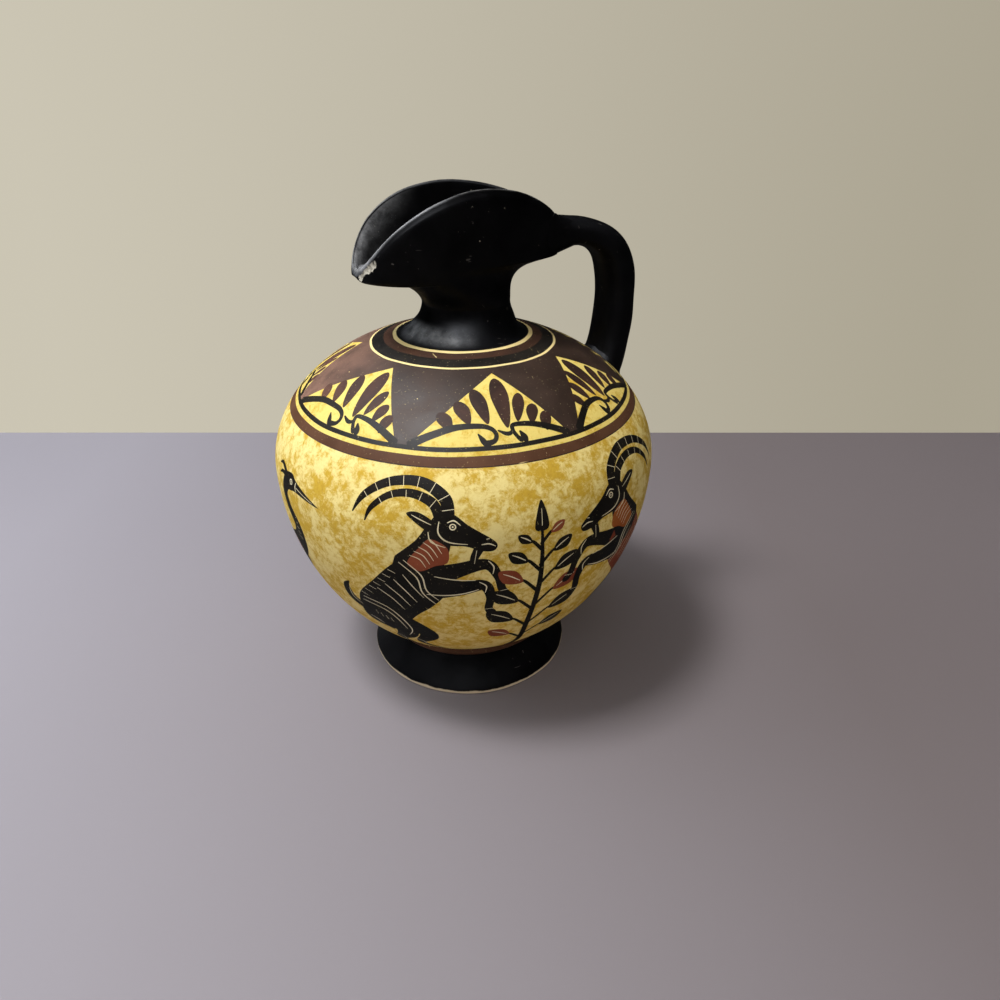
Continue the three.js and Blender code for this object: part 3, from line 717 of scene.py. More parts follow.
def palmette(left, right, height):
    """A palmette in its triangle: the stem stands at x = 0 under the apex, on a base from -left to right."""
    d = Drawing()
    corners = [(-left, 0), (right, 0), (0, height)]
    edge = []
    for (x0, y0), (x1, y1) in zip(corners, corners[1:] + corners[:1]):
        edge += [(lerp(x0, x1, k / 8), lerp(y0, y1, k / 8)) for k in range(8)]
    d.marks.append(("panel", edge))
    a, b = left / PALMETTE_LEFT, right / PALMETTE_RIGHT

    def petal(tip, foot, wide):
        along = Vector((tip[0] - foot[0], tip[1] - foot[1]))
        out = Vector((-along.y, along.x)).normalized() * wide
        sides = [[], []]
        for share, swell in PETAL_SWELL:
            middle = Vector(foot) + along * share
            sides[0].append(tuple(middle - out * swell))
            sides[1].append(tuple(middle + out * swell))
        d.marks.append(("petal", spline([foot, *sides[0], tip, *sides[1][::-1]], 5, ring=True)))

    petal((0, height - 2.6), (-0.6, 5.6), 2.9)
    for tip, foot in LEFT_PETALS:
        petal((tip[0] * a, tip[1]), (foot[0] * a, foot[1]), 2.5 * min(1.0, a))
    for tip, foot in RIGHT_PETALS:
        petal((tip[0] * b, tip[1]), (foot[0] * b, foot[1]), 2.2 * min(1.0, b))
    d.black(
        (-32 * a, 0.3, 1.3), (-25.3 * a, 3.7, 1.2), (-17 * a, 6.8, 1.15), (-9.5 * a, 7.1, 1.0),
        (-6 * a, 6, 0.85), (-4.7 * a, 3.8, 0.75), (-5.6 * a, 1.6, 0.8), (-8.2 * a, 0.8, 1.1),
    )
    d.black((-8.6 * a, 0.5, 0.9), (-9.2 * a, 2.0, 1.0), (-10.2 * a, 4.2, 0.3))
    d.black(
        (21.5 * b, 0.4, 1.2), (14.4 * b, 3.7, 1.15), (7.8 * b, 5.9, 1.0), (1.8 * b, 6.5, 0.8),
        (0.9 * b, 4.8, 0.7), (2 * b, 2.2, 0.7), (3.2 * b, 0.9, 0.95),
    )
    d.black((3.4 * b, 3.8, 0.4), (4.4 * b, 1.8, 1.1), (4.8 * b, 0.4, 0.9))
    d.black((-3.9, 5.0, 0.35), (-1.6, 3.7, 0.75), (0.0, 3.8, 0.7), (1.2, 5.2, 0.35))
    return d


# Body: two half-ellipses on one widest line


def body_radius(z):
    reach = BELLY_DROP if z < WIDEST_Z else SHOULDER_RISE
    return BELLY_RADIUS * math.sqrt(max(0.0, 1 - ((z - WIDEST_Z) / reach) ** 2))


def body_height(r):
    """Height of the shoulder at a radius."""
    return WIDEST_Z + SHOULDER_RISE * math.sqrt(max(0.0, 1 - (r / BELLY_RADIUS) ** 2))


def body_normal(r, z, a):
    reach = BELLY_DROP if z < WIDEST_Z else SHOULDER_RISE
    out, rise = r / BELLY_RADIUS**2, (z - WIDEST_Z) / reach**2
    return Vector((out * math.cos(a), out * math.sin(a), rise)).normalized()


class Meridian:
    """Arc length along the body's outside between two heights, in millimetres."""

    SAMPLES = 1200

    def __init__(self, low, high):
        self.zs = [lerp(low, high, k / self.SAMPLES) for k in range(self.SAMPLES + 1)]
        self.lengths = [0.0]
        for a, b in zip(self.zs, self.zs[1:]):
            self.lengths.append(self.lengths[-1] + math.hypot(b - a, body_radius(b) - body_radius(a)))
        self.span = self.lengths[-1]

    def height(self, s):
        """Height at an arc length."""
        s = min(self.span, max(0.0, s))
        low, high = 0, self.SAMPLES
        while high - low > 1:
            middle = (low + high) // 2
            low, high = (middle, high) if self.lengths[middle] <= s else (low, middle)
        share = (s - self.lengths[low]) / (self.lengths[high] - self.lengths[low])
        return lerp(self.zs[low], self.zs[high], share)

    def length(self, z):
        """Arc length at a height."""
        at = clamp01((z - self.zs[0]) / (self.zs[-1] - self.zs[0])) * self.SAMPLES
        k = min(self.SAMPLES - 1, int(at))
        return lerp(self.lengths[k], self.lengths[k + 1], at - k)


COLUMNS = 208


class Skin:
    """Faces of one piece, gathered with their paints and the normals of their corners. The painting
    starts and ends at the seam, a direction in plan in degrees."""

    def __init__(self, seam):
        self.seam = math.radians(seam)
        self.points, self.index = [], {}
        self.faces, self.paints, self.normals = [], [], []

    def vertex(self, p):
        key = tuple(round(c, 3) for c in p)
        if key not in self.index:
            self.index[key] = len(self.points)
            self.points.append(Vector(p))
        return self.index[key]

    def face(self, corners, paint):
        """Corners are (point, normal) pairs."""
        kept = []
        for p, n in corners:
            v = self.vertex(p)
            if all(v != w for w, _ in kept):
                kept.append((v, n))
        if len(kept) > 2:
            self.faces.append(tuple(v for v, _ in kept))
            self.paints.append(paint)
            self.normals.extend(n for _, n in kept)

    def strip(self, profile, paint, flat=False):
        """A band turned from (radius, height) pairs; seen with the radius to the right and the height
        up, its outside is to the right of the way it runs."""
        for k in range(len(profile) - 1):
            sides = []
            for at in (k, k + 1):
                b, c = (k, k + 1) if flat else (max(0, at - 1), min(len(profile) - 1, at + 1))
                run = Vector((profile[c][0] - profile[b][0], profile[c][1] - profile[b][1])).normalized()
                sides.append((profile[at], run))
            for i in range(COLUMNS):
                quad = []
                corners = ((*sides[0], i), (*sides[0], i + 1), (*sides[1], i + 1), (*sides[1], i))
                for (r, z), run, j in corners:
                    a = self.seam + TURN * (j % COLUMNS) / COLUMNS
                    c, s = math.cos(a), math.sin(a)
                    quad.append(((r * c, r * s, z), Vector((run.y * c, run.y * s, -run.x))))
                self.face(quad, paint)

    def piece(self, name, slots):
        coats = [COATS[s] for s in slots]
        return make(name, self.points, self.faces, coats, self.paints, self.normals)


def anticlockwise(outline):
    turns = zip(outline, outline[1:] + outline[:1])
    return outline if sum(a[0] * b[1] - b[0] * a[1] for a, b in turns) > 0 else outline[::-1]


HAND = ((0.13, 3, 0.7), (0.09, 7, 0.0), (0.05, 17, 2.0))  # strays of the brush: size, waves in a turn, start
CLEAR = 0.7  # the skin's own points keep about this far from the outlines


def painted(skin, meridian, rows, zones, marks, slots):
    """Lays a painted skin between the meridian's two heights. The marks are outlines in
    (distance round the widest line, arc length); rows are arc lengths, zones the paints between them."""
    half = math.pi * BELLY_RADIUS

    def place(u, v):
        if u > half - 1e-3:
            u = -half
        a = skin.seam + math.pi + u / BELLY_RADIUS
        edge = min(v, meridian.span - v)
        hand = sum(size * math.sin(waves * a + start) for size, waves, start in HAND)
        z = meridian.height(v + hand * smooth(edge, 0.0, 2.0))
        if edge < 1e-3:
            z = meridian.zs[0] if v < 1 else meridian.zs[-1]
        r = body_radius(z)
        return Vector((r * math.cos(a), r * math.sin(a), z)), body_normal(r, z, a)

    points, edges, outlines, paints = [], [], [], []
    taken = set()
    for paint, outline in marks:
        start = len(points)
        for u, v in anticlockwise(outline):
            points.append(Vector((u, v)))
            across, up = round(u / CLEAR), round(v / CLEAR)
            taken.update((across + i, up + j) for i in (-1, 0, 1) for j in (-1, 0, 1))
        outlines.append(list(range(start, len(points))))
        paints.append(paint)
    borders = {0, len(rows) - 1} | {k for k in range(1, len(zones)) if zones[k - 1] != zones[k]}
    for k, v in enumerate(rows):
        last = None
        for i in range(COLUMNS + 1):
            u = -half + 2 * half * i / COLUMNS
            kept = k in borders or i in (0, COLUMNS)
            if not kept and (round(u / CLEAR), round(v / CLEAR)) in taken:
                continue
            points.append(Vector((u, v)))
            if k in borders:
                if last is not None:
                    edges.append((last, len(points) - 1))
                last = len(points) - 1
    flat, _, faces, _, _, sources = delaunay_2d_cdt(points, edges, outlines, 0, 1e-5, True)
    laid = [place(p.x, p.y) for p in flat]
    for corners, source in zip(faces, sources):
        middle = sum(flat[c].y for c in corners) / 3
        k = max(i for i in range(len(rows) - 1) if rows[i] <= middle + 1e-9)
        paint = paints[max(source)] if source else zones[k]
        skin.face([laid[c] for c in corners], slots.index(paint))


def even_rows(stops, step):
    """Arc lengths at the stops and evenly between them."""
    rows = [stops[0]]
    for a, b in zip(stops, stops[1:]):
        count = max(1, round((b - a) / step))
        rows += [lerp(a, b, k / count) for k in range(1, count + 1)]
    return rows


def around(degrees, seam):
    """Distance round the widest line of a direction in plan, counted from opposite the seam."""
    return (math.radians(degrees - seam) % TURN - math.pi) * BELLY_RADIUS


PAINTED_LOW = 16.6  # the ground dips behind the coil on the foot
BELLY_SEAM = 29.5  # in the gap between the cockerel's tail and a goat's
BELLY_STEP, SHOULDER_STEP = 2.1, 1.9  # arc length between the rows of the painted skins
FRIEZE_FEET_Z = 29.0
FRIEZE_STRETCH = 0.55  # 0 draws widths in degrees round the jug, 1 in millimetres
BIRD_SIZE, GOAT_SIZE, SAPLING_SIZE = 0.93, 0.89, 1.0


def frieze(meridian):
    """Goats that rear at saplings, a crane and a cockerel, each at its direction in plan."""
    feet = meridian.length(FRIEZE_FEET_Z)
    marks = []

    def stand(drawing, degrees, size, flip=False):
        middle = around(degrees, BELLY_SEAM)

        def place(x, y):
            v = feet + y * size
            stretch = (BELLY_RADIUS / body_radius(meridian.height(v))) ** FRIEZE_STRETCH
            return middle + (-x if flip else x) * size * stretch, v

        marks.extend(drawing.moved(place))

    stand(crane(), 178, BIRD_SIZE)
    stand(rearing_goat("black", "red"), -127.5, GOAT_SIZE)
    stand(sapling(), -91, SAPLING_SIZE)
    stand(rearing_goat("red", "orange"), -54.5, GOAT_SIZE, flip=True)
    stand(cockerel(), -7, BIRD_SIZE)
    stand(rearing_goat("black", "red"), 55.5, GOAT_SIZE)
    stand(sapling(), 92, SAPLING_SIZE)
    stand(rearing_goat("red", "orange"), 128.5, GOAT_SIZE, flip=True)
    return marks


def paint_belly():
    meridian = Meridian(PAINTED_LOW, JOINT_Z)
    slots = ["ground", "black", "line", "red", "orange", "clay"]
    clay = slots.index("clay")
    rows = even_rows([0.0, meridian.span], BELLY_STEP)
    skin = Skin(BELLY_SEAM)
    painted(skin, meridian, rows, ["ground"] * (len(rows) - 1), frieze(meridian), slots)
    low_angle = math.acos((WIDEST_Z - PAINTED_LOW) / BELLY_DROP)
    turns = [low_angle * k / 10 for k in range(10)]
    under = [(BELLY_RADIUS * math.sin(a), WIDEST_Z - BELLY_DROP * math.cos(a)) for a in turns]
    skin.strip(under + [(body_radius(PAINTED_LOW), PAINTED_LOW)], clay)
    inner_r, inner_drop, inner_rise = (v - BODY_WALL for v in (BELLY_RADIUS, BELLY_DROP, SHOULDER_RISE))
    inner_joint = math.asin((JOINT_Z - WIDEST_Z) / inner_rise)
    above = [inner_joint * k / 6 for k in range(6, 0, -1)]
    below = [math.pi / 2 * k / 16 for k in range(16, -1, -1)]
    inside = [(inner_r * math.cos(a), WIDEST_Z + inner_rise * math.sin(a)) for a in above]
    inside += [(inner_r * math.sin(a), WIDEST_Z - inner_drop * math.cos(a)) for a in below]
    skin.strip([(body_radius(JOINT_Z), JOINT_Z), inside[0]], clay, flat=True)
    skin.strip(inside, clay)
    settle(skin.piece("painted_belly", slots), "belly")


RING_A_INNER, RING_A_OUTER = 24.9, 26.4  # radii of the painted rings, from the neck outwards
RUSSET_OUTER, RING_B_INNER, RING_B_OUTER = 29.9, 34.3, 35.15
BLACK_RING_TOP, BLACK_RING_LOW, BROWN_RING_TOP = 62.2, 63.3, 64.35
EDGE_LINE = 0.4  # dark line along the joint
SHOULDER_SEAM = -26.4  # in a gap between two palmettes
PALMETTES = (  # directions of the apex and of the base's two ends, and the height
    (-201.2, -234.5, -187.4, 28.8), (-149.8, -183.1, -131.5, 28.9), (-95.6, -127.4, -76.4, 28.9),
    (-49.8, -72.1, -28.6, 28.6), (4.0, -24.3, 23.0, 28.7), (55.0, 27.3, 74.5, 28.5),
    (101.0, 78.8, 121.2, 28.8),
)
PANEL_GAP = 0.05  # between the black ring and the palmettes' panels
BORE_GAP = 0.3  # between the shoulder's hole and the neck's spigot


def palmette_ring(meridian, base):
    marks = []
    degree = math.radians(BLACK_RING_TOP)
    for apex, left, right, height in PALMETTES:
        middle = around(apex, SHOULDER_SEAM)

        def place(x, y):
            v = base + y
            return middle + x * BELLY_RADIUS / body_radius(meridian.height(v)), v

        marks.extend(palmette((apex - left) * degree, (right - apex) * degree, height).moved(place))
    return marks


def paint_shoulder():
    top = body_height(RING_A_INNER)
    meridian = Meridian(JOINT_Z, top)
    bands = (  # outer radius and paint, from the joint up to the neck
        (BROWN_RING_TOP, "panel"), (BLACK_RING_LOW, "black"), (BLACK_RING_TOP, "plum"),
        (RING_B_OUTER, "cream"), (RING_B_INNER, "black"), (RUSSET_OUTER, "russet"), (RING_A_OUTER, "cream"),
    )
    stops = [0.0, EDGE_LINE] + [meridian.length(body_height(r)) for r, _ in bands] + [meridian.span]
    order = ["petal", "brown"] + [paint for _, paint in bands]
    rows = even_rows(stops, SHOULDER_STEP)
    middles = [(low + high) / 2 for low, high in zip(rows, rows[1:])]
    zones = [order[max(i for i in range(len(order)) if stops[i] <= middle)] for middle in middles]
    base = meridian.length(body_height(BLACK_RING_TOP)) + PANEL_GAP
    slots = ["plum", "black", "cream", "panel", "petal", "brown", "russet", "clay"]
    clay = slots.index("clay")
    skin = Skin(SHOULDER_SEAM)
    painted(skin, meridian, rows, zones, palmette_ring(meridian, base), slots)
    bore = NECK_SPIGOT_RADIUS + BORE_GAP
    inner_r, inner_rise = BELLY_RADIUS - BODY_WALL, SHOULDER_RISE - BODY_WALL
    start, end = math.asin((JOINT_Z - WIDEST_Z) / inner_rise), math.acos(bore / inner_r)
    turns = [lerp(end, start, k / 14) for k in range(15)]
    inside = [(inner_r * math.cos(a), WIDEST_Z + inner_rise * math.sin(a)) for a in turns]
    skin.strip([(RING_A_INNER, top), (bore, top)], clay, flat=True)
    skin.strip([(bore, top), inside[0]], clay, flat=True)
    skin.strip(inside, clay)
    skin.strip([inside[-1], (body_radius(JOINT_Z), JOINT_Z)], clay, flat=True)
    settle(skin.piece("painted_shoulder", slots), "shoulder")


# Foot and its coil

FOOT_SIDES = 192
FOOT_COVE = 0.25  # share of the cove in the foot's flare, which is otherwise straight
FOOT_FLARE = 1.25  # 1 is a straight flare, more lets it out towards the table
FOOT_RING, FOOT_BORE = FOOT_RADIUS - 9.0, FOOT_TOP_RADIUS - 8.0  # inner radii at the table and at the belly
FOOT_EDGE, FOOT_EDGE_ROUND = 3.5, 1.0  # height of the edge under the cove, and its rounding
FLARE_START = 1.2  # height at which the straight flare leaves the edge
RING_FLAT = (1.2, 1.4)  # the resting ring is flat between these distances from its inner and outer edge
FOOT_HOLLOW = (11.0, 0.6)  # heights of the open underside at the bore and at the ring
SLIP_GAP = 0.15  # room for slip between the foot and the belly
FOOT_WOBBLE, COIL_WOBBLE = 0.25, 0.35  # how far the hand-turned rings stray
COIL_SWELL, COIL_TUCK, COIL_SQUASH = 0.5, 0.4, 0.86  # the coil stands out, goes in behind, is pressed flat
COIL_IN, COIL_DOWN = 0.6, 0.2  # how far its middle is pushed into the angle


def make_foot():
    profile = [(FOOT_RING, 0.0), (FOOT_RING + RING_FLAT[0], 0.0), (FOOT_RADIUS - RING_FLAT[1], 0.0)]
    profile += arc((FOOT_RADIUS - FOOT_EDGE_ROUND, FOOT_EDGE_ROUND), FOOT_EDGE_ROUND, -90, 0, 6)
    wide, high = FOOT_RADIUS - FOOT_TOP_RADIUS, FOOT_HEIGHT - FOOT_EDGE
    for k in range(25):
        t = k / 24
        a = math.pi / 2 * t
        straight = (FOOT_RADIUS - wide * t**FOOT_FLARE, lerp(FLARE_START, FOOT_HEIGHT, t))
        coved = (FOOT_RADIUS - wide * math.sin(a), FOOT_HEIGHT - high * math.cos(a))
        profile.append(tuple(lerp(p, q, FOOT_COVE) for p, q in zip(straight, coved)))
    belly = WIDEST_Z - BELLY_DROP * math.sqrt(1 - (FOOT_BORE / BELLY_RADIUS) ** 2)
    profile += [(body_radius(FOOT_HEIGHT) + SLIP_GAP, FOOT_HEIGHT), (FOOT_BORE, belly - SLIP_GAP)]
    profile += [(lerp(FOOT_BORE, FOOT_RING, t), lerp(*FOOT_HOLLOW, t)) for t in (0.2, 0.5, 0.8)]
    settle(turned("foot", profile, FOOT_SIDES, BLACK_FOOT, FOOT_WOBBLE), "foot")


def make_foot_coil():
    middle = FOOT_HEIGHT + FOOT_COIL_RADIUS
    centre = (FOOT_TOP_RADIUS - COIL_IN, middle - COIL_DOWN)
    profile = arc(centre, FOOT_COIL_RADIUS + COIL_SWELL, -95, 78, 14, COIL_SQUASH)
    profile = [(r - COIL_SWELL * smooth(z, middle + 1, middle + 3), z) for r, z in profile]
    profile += [
        (body_radius(z) - COIL_TUCK, z) for z in (profile[-1][1] + 0.1, middle, FOOT_HEIGHT - 0.1)
    ]
    coil = turned("foot_luting_coil", profile, FOOT_SIDES, COATS["brown"], COIL_WOBBLE)
    settle(coil, "foot_luting_coil")


# Neck and beaked mouth

AROUND = 288
COVE_BEND = 1.6  # 2 is a true quarter ellipse, less fills the angles under the beak and on the shoulder
NECK_LOW = body_height(RING_A_INNER)  # where the neck's flange meets the shoulder
NECK_LEAN = 1.7  # how far the waist stands off the axis, towards the handle
FLANGE_SINK = 0.25  # the flange goes this far into the shoulder's seat
FLANGE_SHEEN = 0.66  # strength of the painted sheen on the flange, at its brightest
SHEEN_SIDE = (-0.87, -0.49)  # direction in plan of that painted sheen


def lean(z):
    rise = smooth(z, NECK_LOW, lerp(NECK_LOW, WAIST_Z, 0.65))
    return NECK_LEAN * rise * (1 - smooth(z, WAIST_Z + 1, WAIST_Z + 13))


def flange_sheen(p):
    """Painted sheen in an uneven band round one side of the flange."""
    facing = (SHEEN_SIDE[0] * p.x + SHEEN_SIDE[1] * p.y) / math.hypot(p.x, p.y)
    band = smooth(p.z, NECK_LOW, NECK_LOW + 2.5) * (1 - smooth(p.z, NECK_LOW + 2.8, NECK_LOW + 6.5))
    return FLANGE_SHEEN * band * smooth(facing, 0.5, 0.96) * clamp01(0.9 + 0.8 * noise.noise(p * 0.25))


def make_neck():
    flange, bore = RING_A_INNER + 0.05, NECK_WAIST_RADIUS - MOUTH_WALL
    spigot_end = SEAT_Z - NECK_SPIGOT_DEPTH
    profile = [(flange, NECK_LOW - FLANGE_SINK)]
    for k in range(25):
        a = math.pi / 2 * k / 24
        inwards, down = power(math.sin(a), 2 / COVE_BEND), power(math.cos(a), 2 / COVE_BEND)
        r = flange - (flange - NECK_WAIST_RADIUS) * inwards
        profile.append((r, WAIST_Z - (WAIST_Z - NECK_LOW - 0.05) * down))
    profile += [(bore, WAIST_Z), (bore - 0.5, WAIST_Z - 6), (bore, SEAT_Z), (bore + 0.6, spigot_end)]
    profile += [(NECK_SPIGOT_RADIUS, spigot_end), (NECK_SPIGOT_RADIUS, NECK_LOW - FLANGE_SINK)]
    # the painted sheen on one side of the flange is stored as a mark on the neck
    neck = turned("neck", profile, AROUND, BLACK_PIECE, shift=lean, marks={"sheen_and_dust": flange_sheen})
    settle(neck, "neck")


BEAK_MIDDLE = NECK_WAIST_RADIUS + BEAK_COVE


def beak_reach(h):
    if h < BEAK_UNDERSIDE:
        return BEAK_MIDDLE - BEAK_COVE * (1 - clamp01(h / BEAK_UNDERSIDE) ** COVE_BEND) ** (1 / COVE_BEND)
    left = 1 - clamp01((h - BEAK_UNDERSIDE) / BEAK_CHIN)
    return BEAK_MIDDLE + (BEAK_REACH - BEAK_MIDDLE) * math.sqrt(1 - left**2)


def back_reach(h):
    left = (1 - clamp01(h / BACK_RISE) ** BACK_HOLLOW) ** (1 / BACK_HOLLOW)
    return BACK_REACH - (BACK_REACH - NECK_WAIST_RADIUS) * left


def side_reach(h):
    share = math.sin(clamp01(h / SIDE_RISE) * math.pi / 2)
    return NECK_WAIST_RADIUS + (SIDE_REACH - NECK_WAIST_RADIUS) * share


def drawn_in(reach, wall, h):
    """A reach drawn in by a wall measured square to its curve."""
    if wall <= 0:
        return reach(h)
    shifts = [wall * k / 24 for k in range(-24, 25)]
    return min(reach(h + s) - math.sqrt(max(0.0, wall**2 - s**2)) for s in shifts)


def mouth_level(h, wall, back_wall):
    """Reaches and plan exponents of the mouth at a height above the waist."""
    blend = smooth(h, 0.0, BACK_RISE)
    station = -WIDEST_STATION * blend
    front = drawn_in(beak_reach, wall, h) + station
    back = drawn_in(back_reach, lerp(wall, back_wall, blend**2), h) - station
    side = drawn_in(side_reach, wall, h)
    exponents = (lerp(2, FRONT_FULLNESS, blend), lerp(2, BACK_SPREAD, blend), lerp(2, BACK_POINT, blend))
    return h, station, front, back, side, exponents


def on_level(level, a):
    h, station, front, back, side, (fullness, spread, point) = level
    c, s = math.cos(a), math.sin(a)
    if c < 0:
        x, y = front * power(c, 2 / fullness), side * power(s, 2 / fullness)
    else:
        x, y = back * power(c, 2 / spread), side * power(s, 2 / point)
    return Vector((station + x, y, WAIST_Z + h))


TIP_DIP, TIP_DIP_START, TIP_DIP_BEND = 2.6, 29.5, 1.5  # the lip's outside, pared down towards the tip


def rim_z(x, dip=0.0):
    """Height of the two arcs along which the rim is cut."""
    radius = RIM_FRONT_RADIUS if x < RIM_CREST_BACK else RIM_BACK_RADIUS
    pared = dip * clamp01((-x - TIP_DIP_START) / (BEAK_REACH - TIP_DIP_START)) ** TIP_DIP_BEND
    return CREST_Z - radius + math.sqrt(max(0.0, radius**2 - (x - RIM_CREST_BACK) ** 2)) - pared


def resampled(line, steps):
    """Points at even distances along a line."""
    lengths = [0.0]
    for a, b in zip(line, line[1:]):
        lengths.append(lengths[-1] + (b - a).length)
    out, k = [], 0
    for i in range(steps + 1):
        s = lengths[-1] * i / steps
        while k < len(line) - 2 and lengths[k + 1] < s:
            k += 1
        gap = lengths[k + 1] - lengths[k]
        out.append(line[k].lerp(line[k + 1], (s - lengths[k]) / gap if gap > 1e-9 else 0.0))
    return out


def mouth_columns(wall, back_wall, drop, dip, steps):
    """Lines up the mouth's wall from the waist to just under the rim, one for each direction."""
    heights = [BEAK_UNDERSIDE * math.sin(math.pi / 2 * k / 40) for k in range(41)]
    chin = BEAK_CHIN + wall
    heights += [BEAK_UNDERSIDE + chin * (1 - math.cos(math.pi / 2 * k / 40)) for k in range(1, 41)]
    top = CREST_Z - WAIST_Z + 2
    heights += [lerp(heights[-1], top, k / 30) for k in range(1, 31)]
    levels = [mouth_level(h, wall, back_wall) for h in heights]
    columns = []
    for i in range(AROUND):
        a = TURN * i / AROUND
        line = []
        for level in levels:
            p = on_level(level, a)
            over = p.z - (rim_z(p.x, dip) - drop)
            if over > 0 and line:
                q = line[-1]
                under = q.z - (rim_z(q.x, dip) - drop)
                line.append(q.lerp(p, -under / (over - under)))
                break
            line.append(p)
        columns.append(resampled(line, steps))
    return columns


LIP, LIP_TURNS = 1.1, 9  # height of the rounded lip, and the steps over it
LIP_ROUND, LIP_DRAW = 3.0, 1.0  # height over which the outside rounds into the rim, and how far it goes in
WALL_STEPS = 56
BEAK_FLARE, BEAK_THINNING = 7.5, 0.62  # how far down the beak's inside opens out, and its share of the lip
FLARE_FROM, FLARE_FULL = 14.0, 34.0  # places along the beak, counted from the axis
UNEVEN = 0.35  # how far hand-shaped walls stray
CHIP_ENDS = (Vector((-35.8, -13.2, 173.2)), Vector((-39.4, -5.6, 167.4)))
CHIP_REACH, CHIP_RAGGED, CHIP_DEPTH, CHIP_ROUGH = 2.0, 0.7, 0.9, 0.3
CHIP_INWARDS = Vector((0.62, 0.42, -0.5))
TIP_SHEEN, CROWN_SHEEN = 0.3, 0.6  # strength of the painted sheen on the lip
BEAK_SHEEN, BRINK_SHEEN, INNER_TIP_SHEEN = 0.2, 0.8, 0.6  # and of the painted sheen inside the beak
BRINK_REACH = 9.0  # how far down from the brink its painted sheen goes


def lip_sheen(p, crown):
    """Painted sheen on the lip: at the tip, and on the crown of one side."""
    side = crown**2 * smooth(-p.x, 4.0, 22.0) * smooth(-p.y, 2.0, 8.0)
    return TIP_SHEEN * smooth(-p.x, 30.0, 38.0) + CROWN_SHEEN * side


def inside_sheen(p, brink):
    """Painted sheen inside the beak, brighter under the lip's brink and at the tip."""
    near = 1 - clamp01((brink - p).length / BRINK_REACH)
    film_and_sheen = BEAK_SHEEN * smooth(-p.x, 12.0, BEAK_REACH) + BRINK_SHEEN * near**1.5 * smooth(-p.x, 8.0, 30.0)
    return min(1.0, film_and_sheen + INNER_TIP_SHEEN * smooth(-p.x, 30.0, 36.5))


def shape_lip(line, other):
    """Rounds one line of the mouth's outside in towards the rim, and opens the inside of the beak."""
    brink, top = other[-1].copy(), line[-1].z
    inwards = (brink - line[-1]).normalized()
    for p in line:
        near = 1 - clamp01((top - p.z) / LIP_ROUND)
        p += inwards * LIP_DRAW * (1 - math.sqrt(1 - near**2))
    opened = (line[-1] - brink) * BEAK_THINNING * smooth(-brink.x, FLARE_FROM, FLARE_FULL)
    for p in other:
        p += opened * (1 - clamp01((p - brink).length / BEAK_FLARE)) ** 1.5


def make_mouth():
    """The mouth: its wall up to the rim, a rounded lip, and the inside down to the neck."""
    outer = mouth_columns(0.0, 0.0, LIP, TIP_DIP, WALL_STEPS)
    inner = mouth_columns(MOUTH_WALL, MOUTH_BACK_WALL, LIP, 0.0, WALL_STEPS)
    for line, other in zip(outer, inner):
        shape_lip(line, other)
    points, rubbed, sheen_and_dust = [], [], []
    rows = 2 * WALL_STEPS + LIP_TURNS + 1
    for k in range(rows):
        for i in range(AROUND):
            start, end = outer[i][-1], inner[i][-1]
            wear, film_and_sheen = 0.0, 0.0
            if k <= WALL_STEPS:
                p = outer[i][k].copy()
            elif k < WALL_STEPS + LIP_TURNS:
                a = math.pi * (k - WALL_STEPS) / LIP_TURNS
                p = start.lerp(end, 0.5 - 0.5 * math.cos(a))
                p.z += LIP * math.sin(a)
                wear, film_and_sheen = math.sin(a) ** 8, lip_sheen(p, math.sin(a))
            else:
                p = inner[i][2 * WALL_STEPS + LIP_TURNS - k].copy()
                film_and_sheen = inside_sheen(p, end)
            p.z += UNEVEN * noise.noise(p * 0.06) * smooth(p.z, WAIST_Z + 4, WAIST_Z + 14)
            p.x += lean(p.z)
            points.append(p)
            rubbed.append(wear)
            sheen_and_dust.append(film_and_sheen)
    # the lip and the inside of the beak carry a painted sheen in their marks, beside the real wear and the
    # chip
    marks = {"rubbed": rubbed, "sheen_and_dust": sheen_and_dust, "broken": chip(points)}
    faces = band_faces(rows, AROUND, True)
    settle(make("beaked_mouth", points, faces, [BLACK_PIECE], marks=marks), "beaked_mouth")


def chip(points):
    """Breaks a flake off the lip beside the tip of the beak; gives how far each point lies in the break."""
    low, high = CHIP_ENDS
    run = high - low
    depths = []
    for p in points:
        share = clamp01((p - low).dot(run) / run.length_squared)
        away = (p - low - run * share).length + CHIP_RAGGED * noise.noise(p * 0.5)
        depth = smooth(1 - away / CHIP_REACH)
        depths.append(depth)
        if depth > 0:
            p += CHIP_INWARDS * (CHIP_DEPTH * depth + CHIP_ROUGH * depth * noise.noise(p * 1.3))
    return depths


# Handle

HANDLE_STEPS = 400
HANDLE_BASE_DRAW = 1.55  # the strap draws in this far to its base
STRAP_SIDES, STRAP_RINGS = 48, 90
STRAP_ENDS = (0.008, 0.97)  # places along the centre line, hidden in the walls


def handle_line():
    """Centre line from inside the mouth's back wall to inside the shoulder's wall, evenly spaced."""
    root_z = WAIST_Z + HANDLE_ROOT_RISE
    base_r = HANDLE_REACH - HANDLE_BASE_DRAW
    base_z = body_height(base_r)
    bend = HANDLE_REACH - BACK_REACH
    tight = bend * BEND_TIGHTNESS

    def at(x, z):
        return Vector((x, 0.0, z))

    a, b = at(BACK_REACH - MOUTH_BACK_WALL, root_z), at(HANDLE_REACH - tight, root_z)
    c, d = at(HANDLE_REACH, root_z - tight), at(HANDLE_REACH, root_z - bend)
    e, f = at(HANDLE_REACH, base_z + tight), at(base_r - BODY_WALL, base_z - BODY_WALL)
    line = []
    for k in range(120):
        t = k / 120
        line.append(a * (1 - t) ** 3 + b * 3 * t * (1 - t) ** 2 + c * 3 * t * t * (1 - t) + d * t**3)
    for k in range(81):
        t = k / 80
        line.append(d * (1 - t) ** 2 + e * 2 * t * (1 - t) + f * t * t)
    return resampled(line, HANDLE_STEPS)


HANDLE_LINE = handle_line()


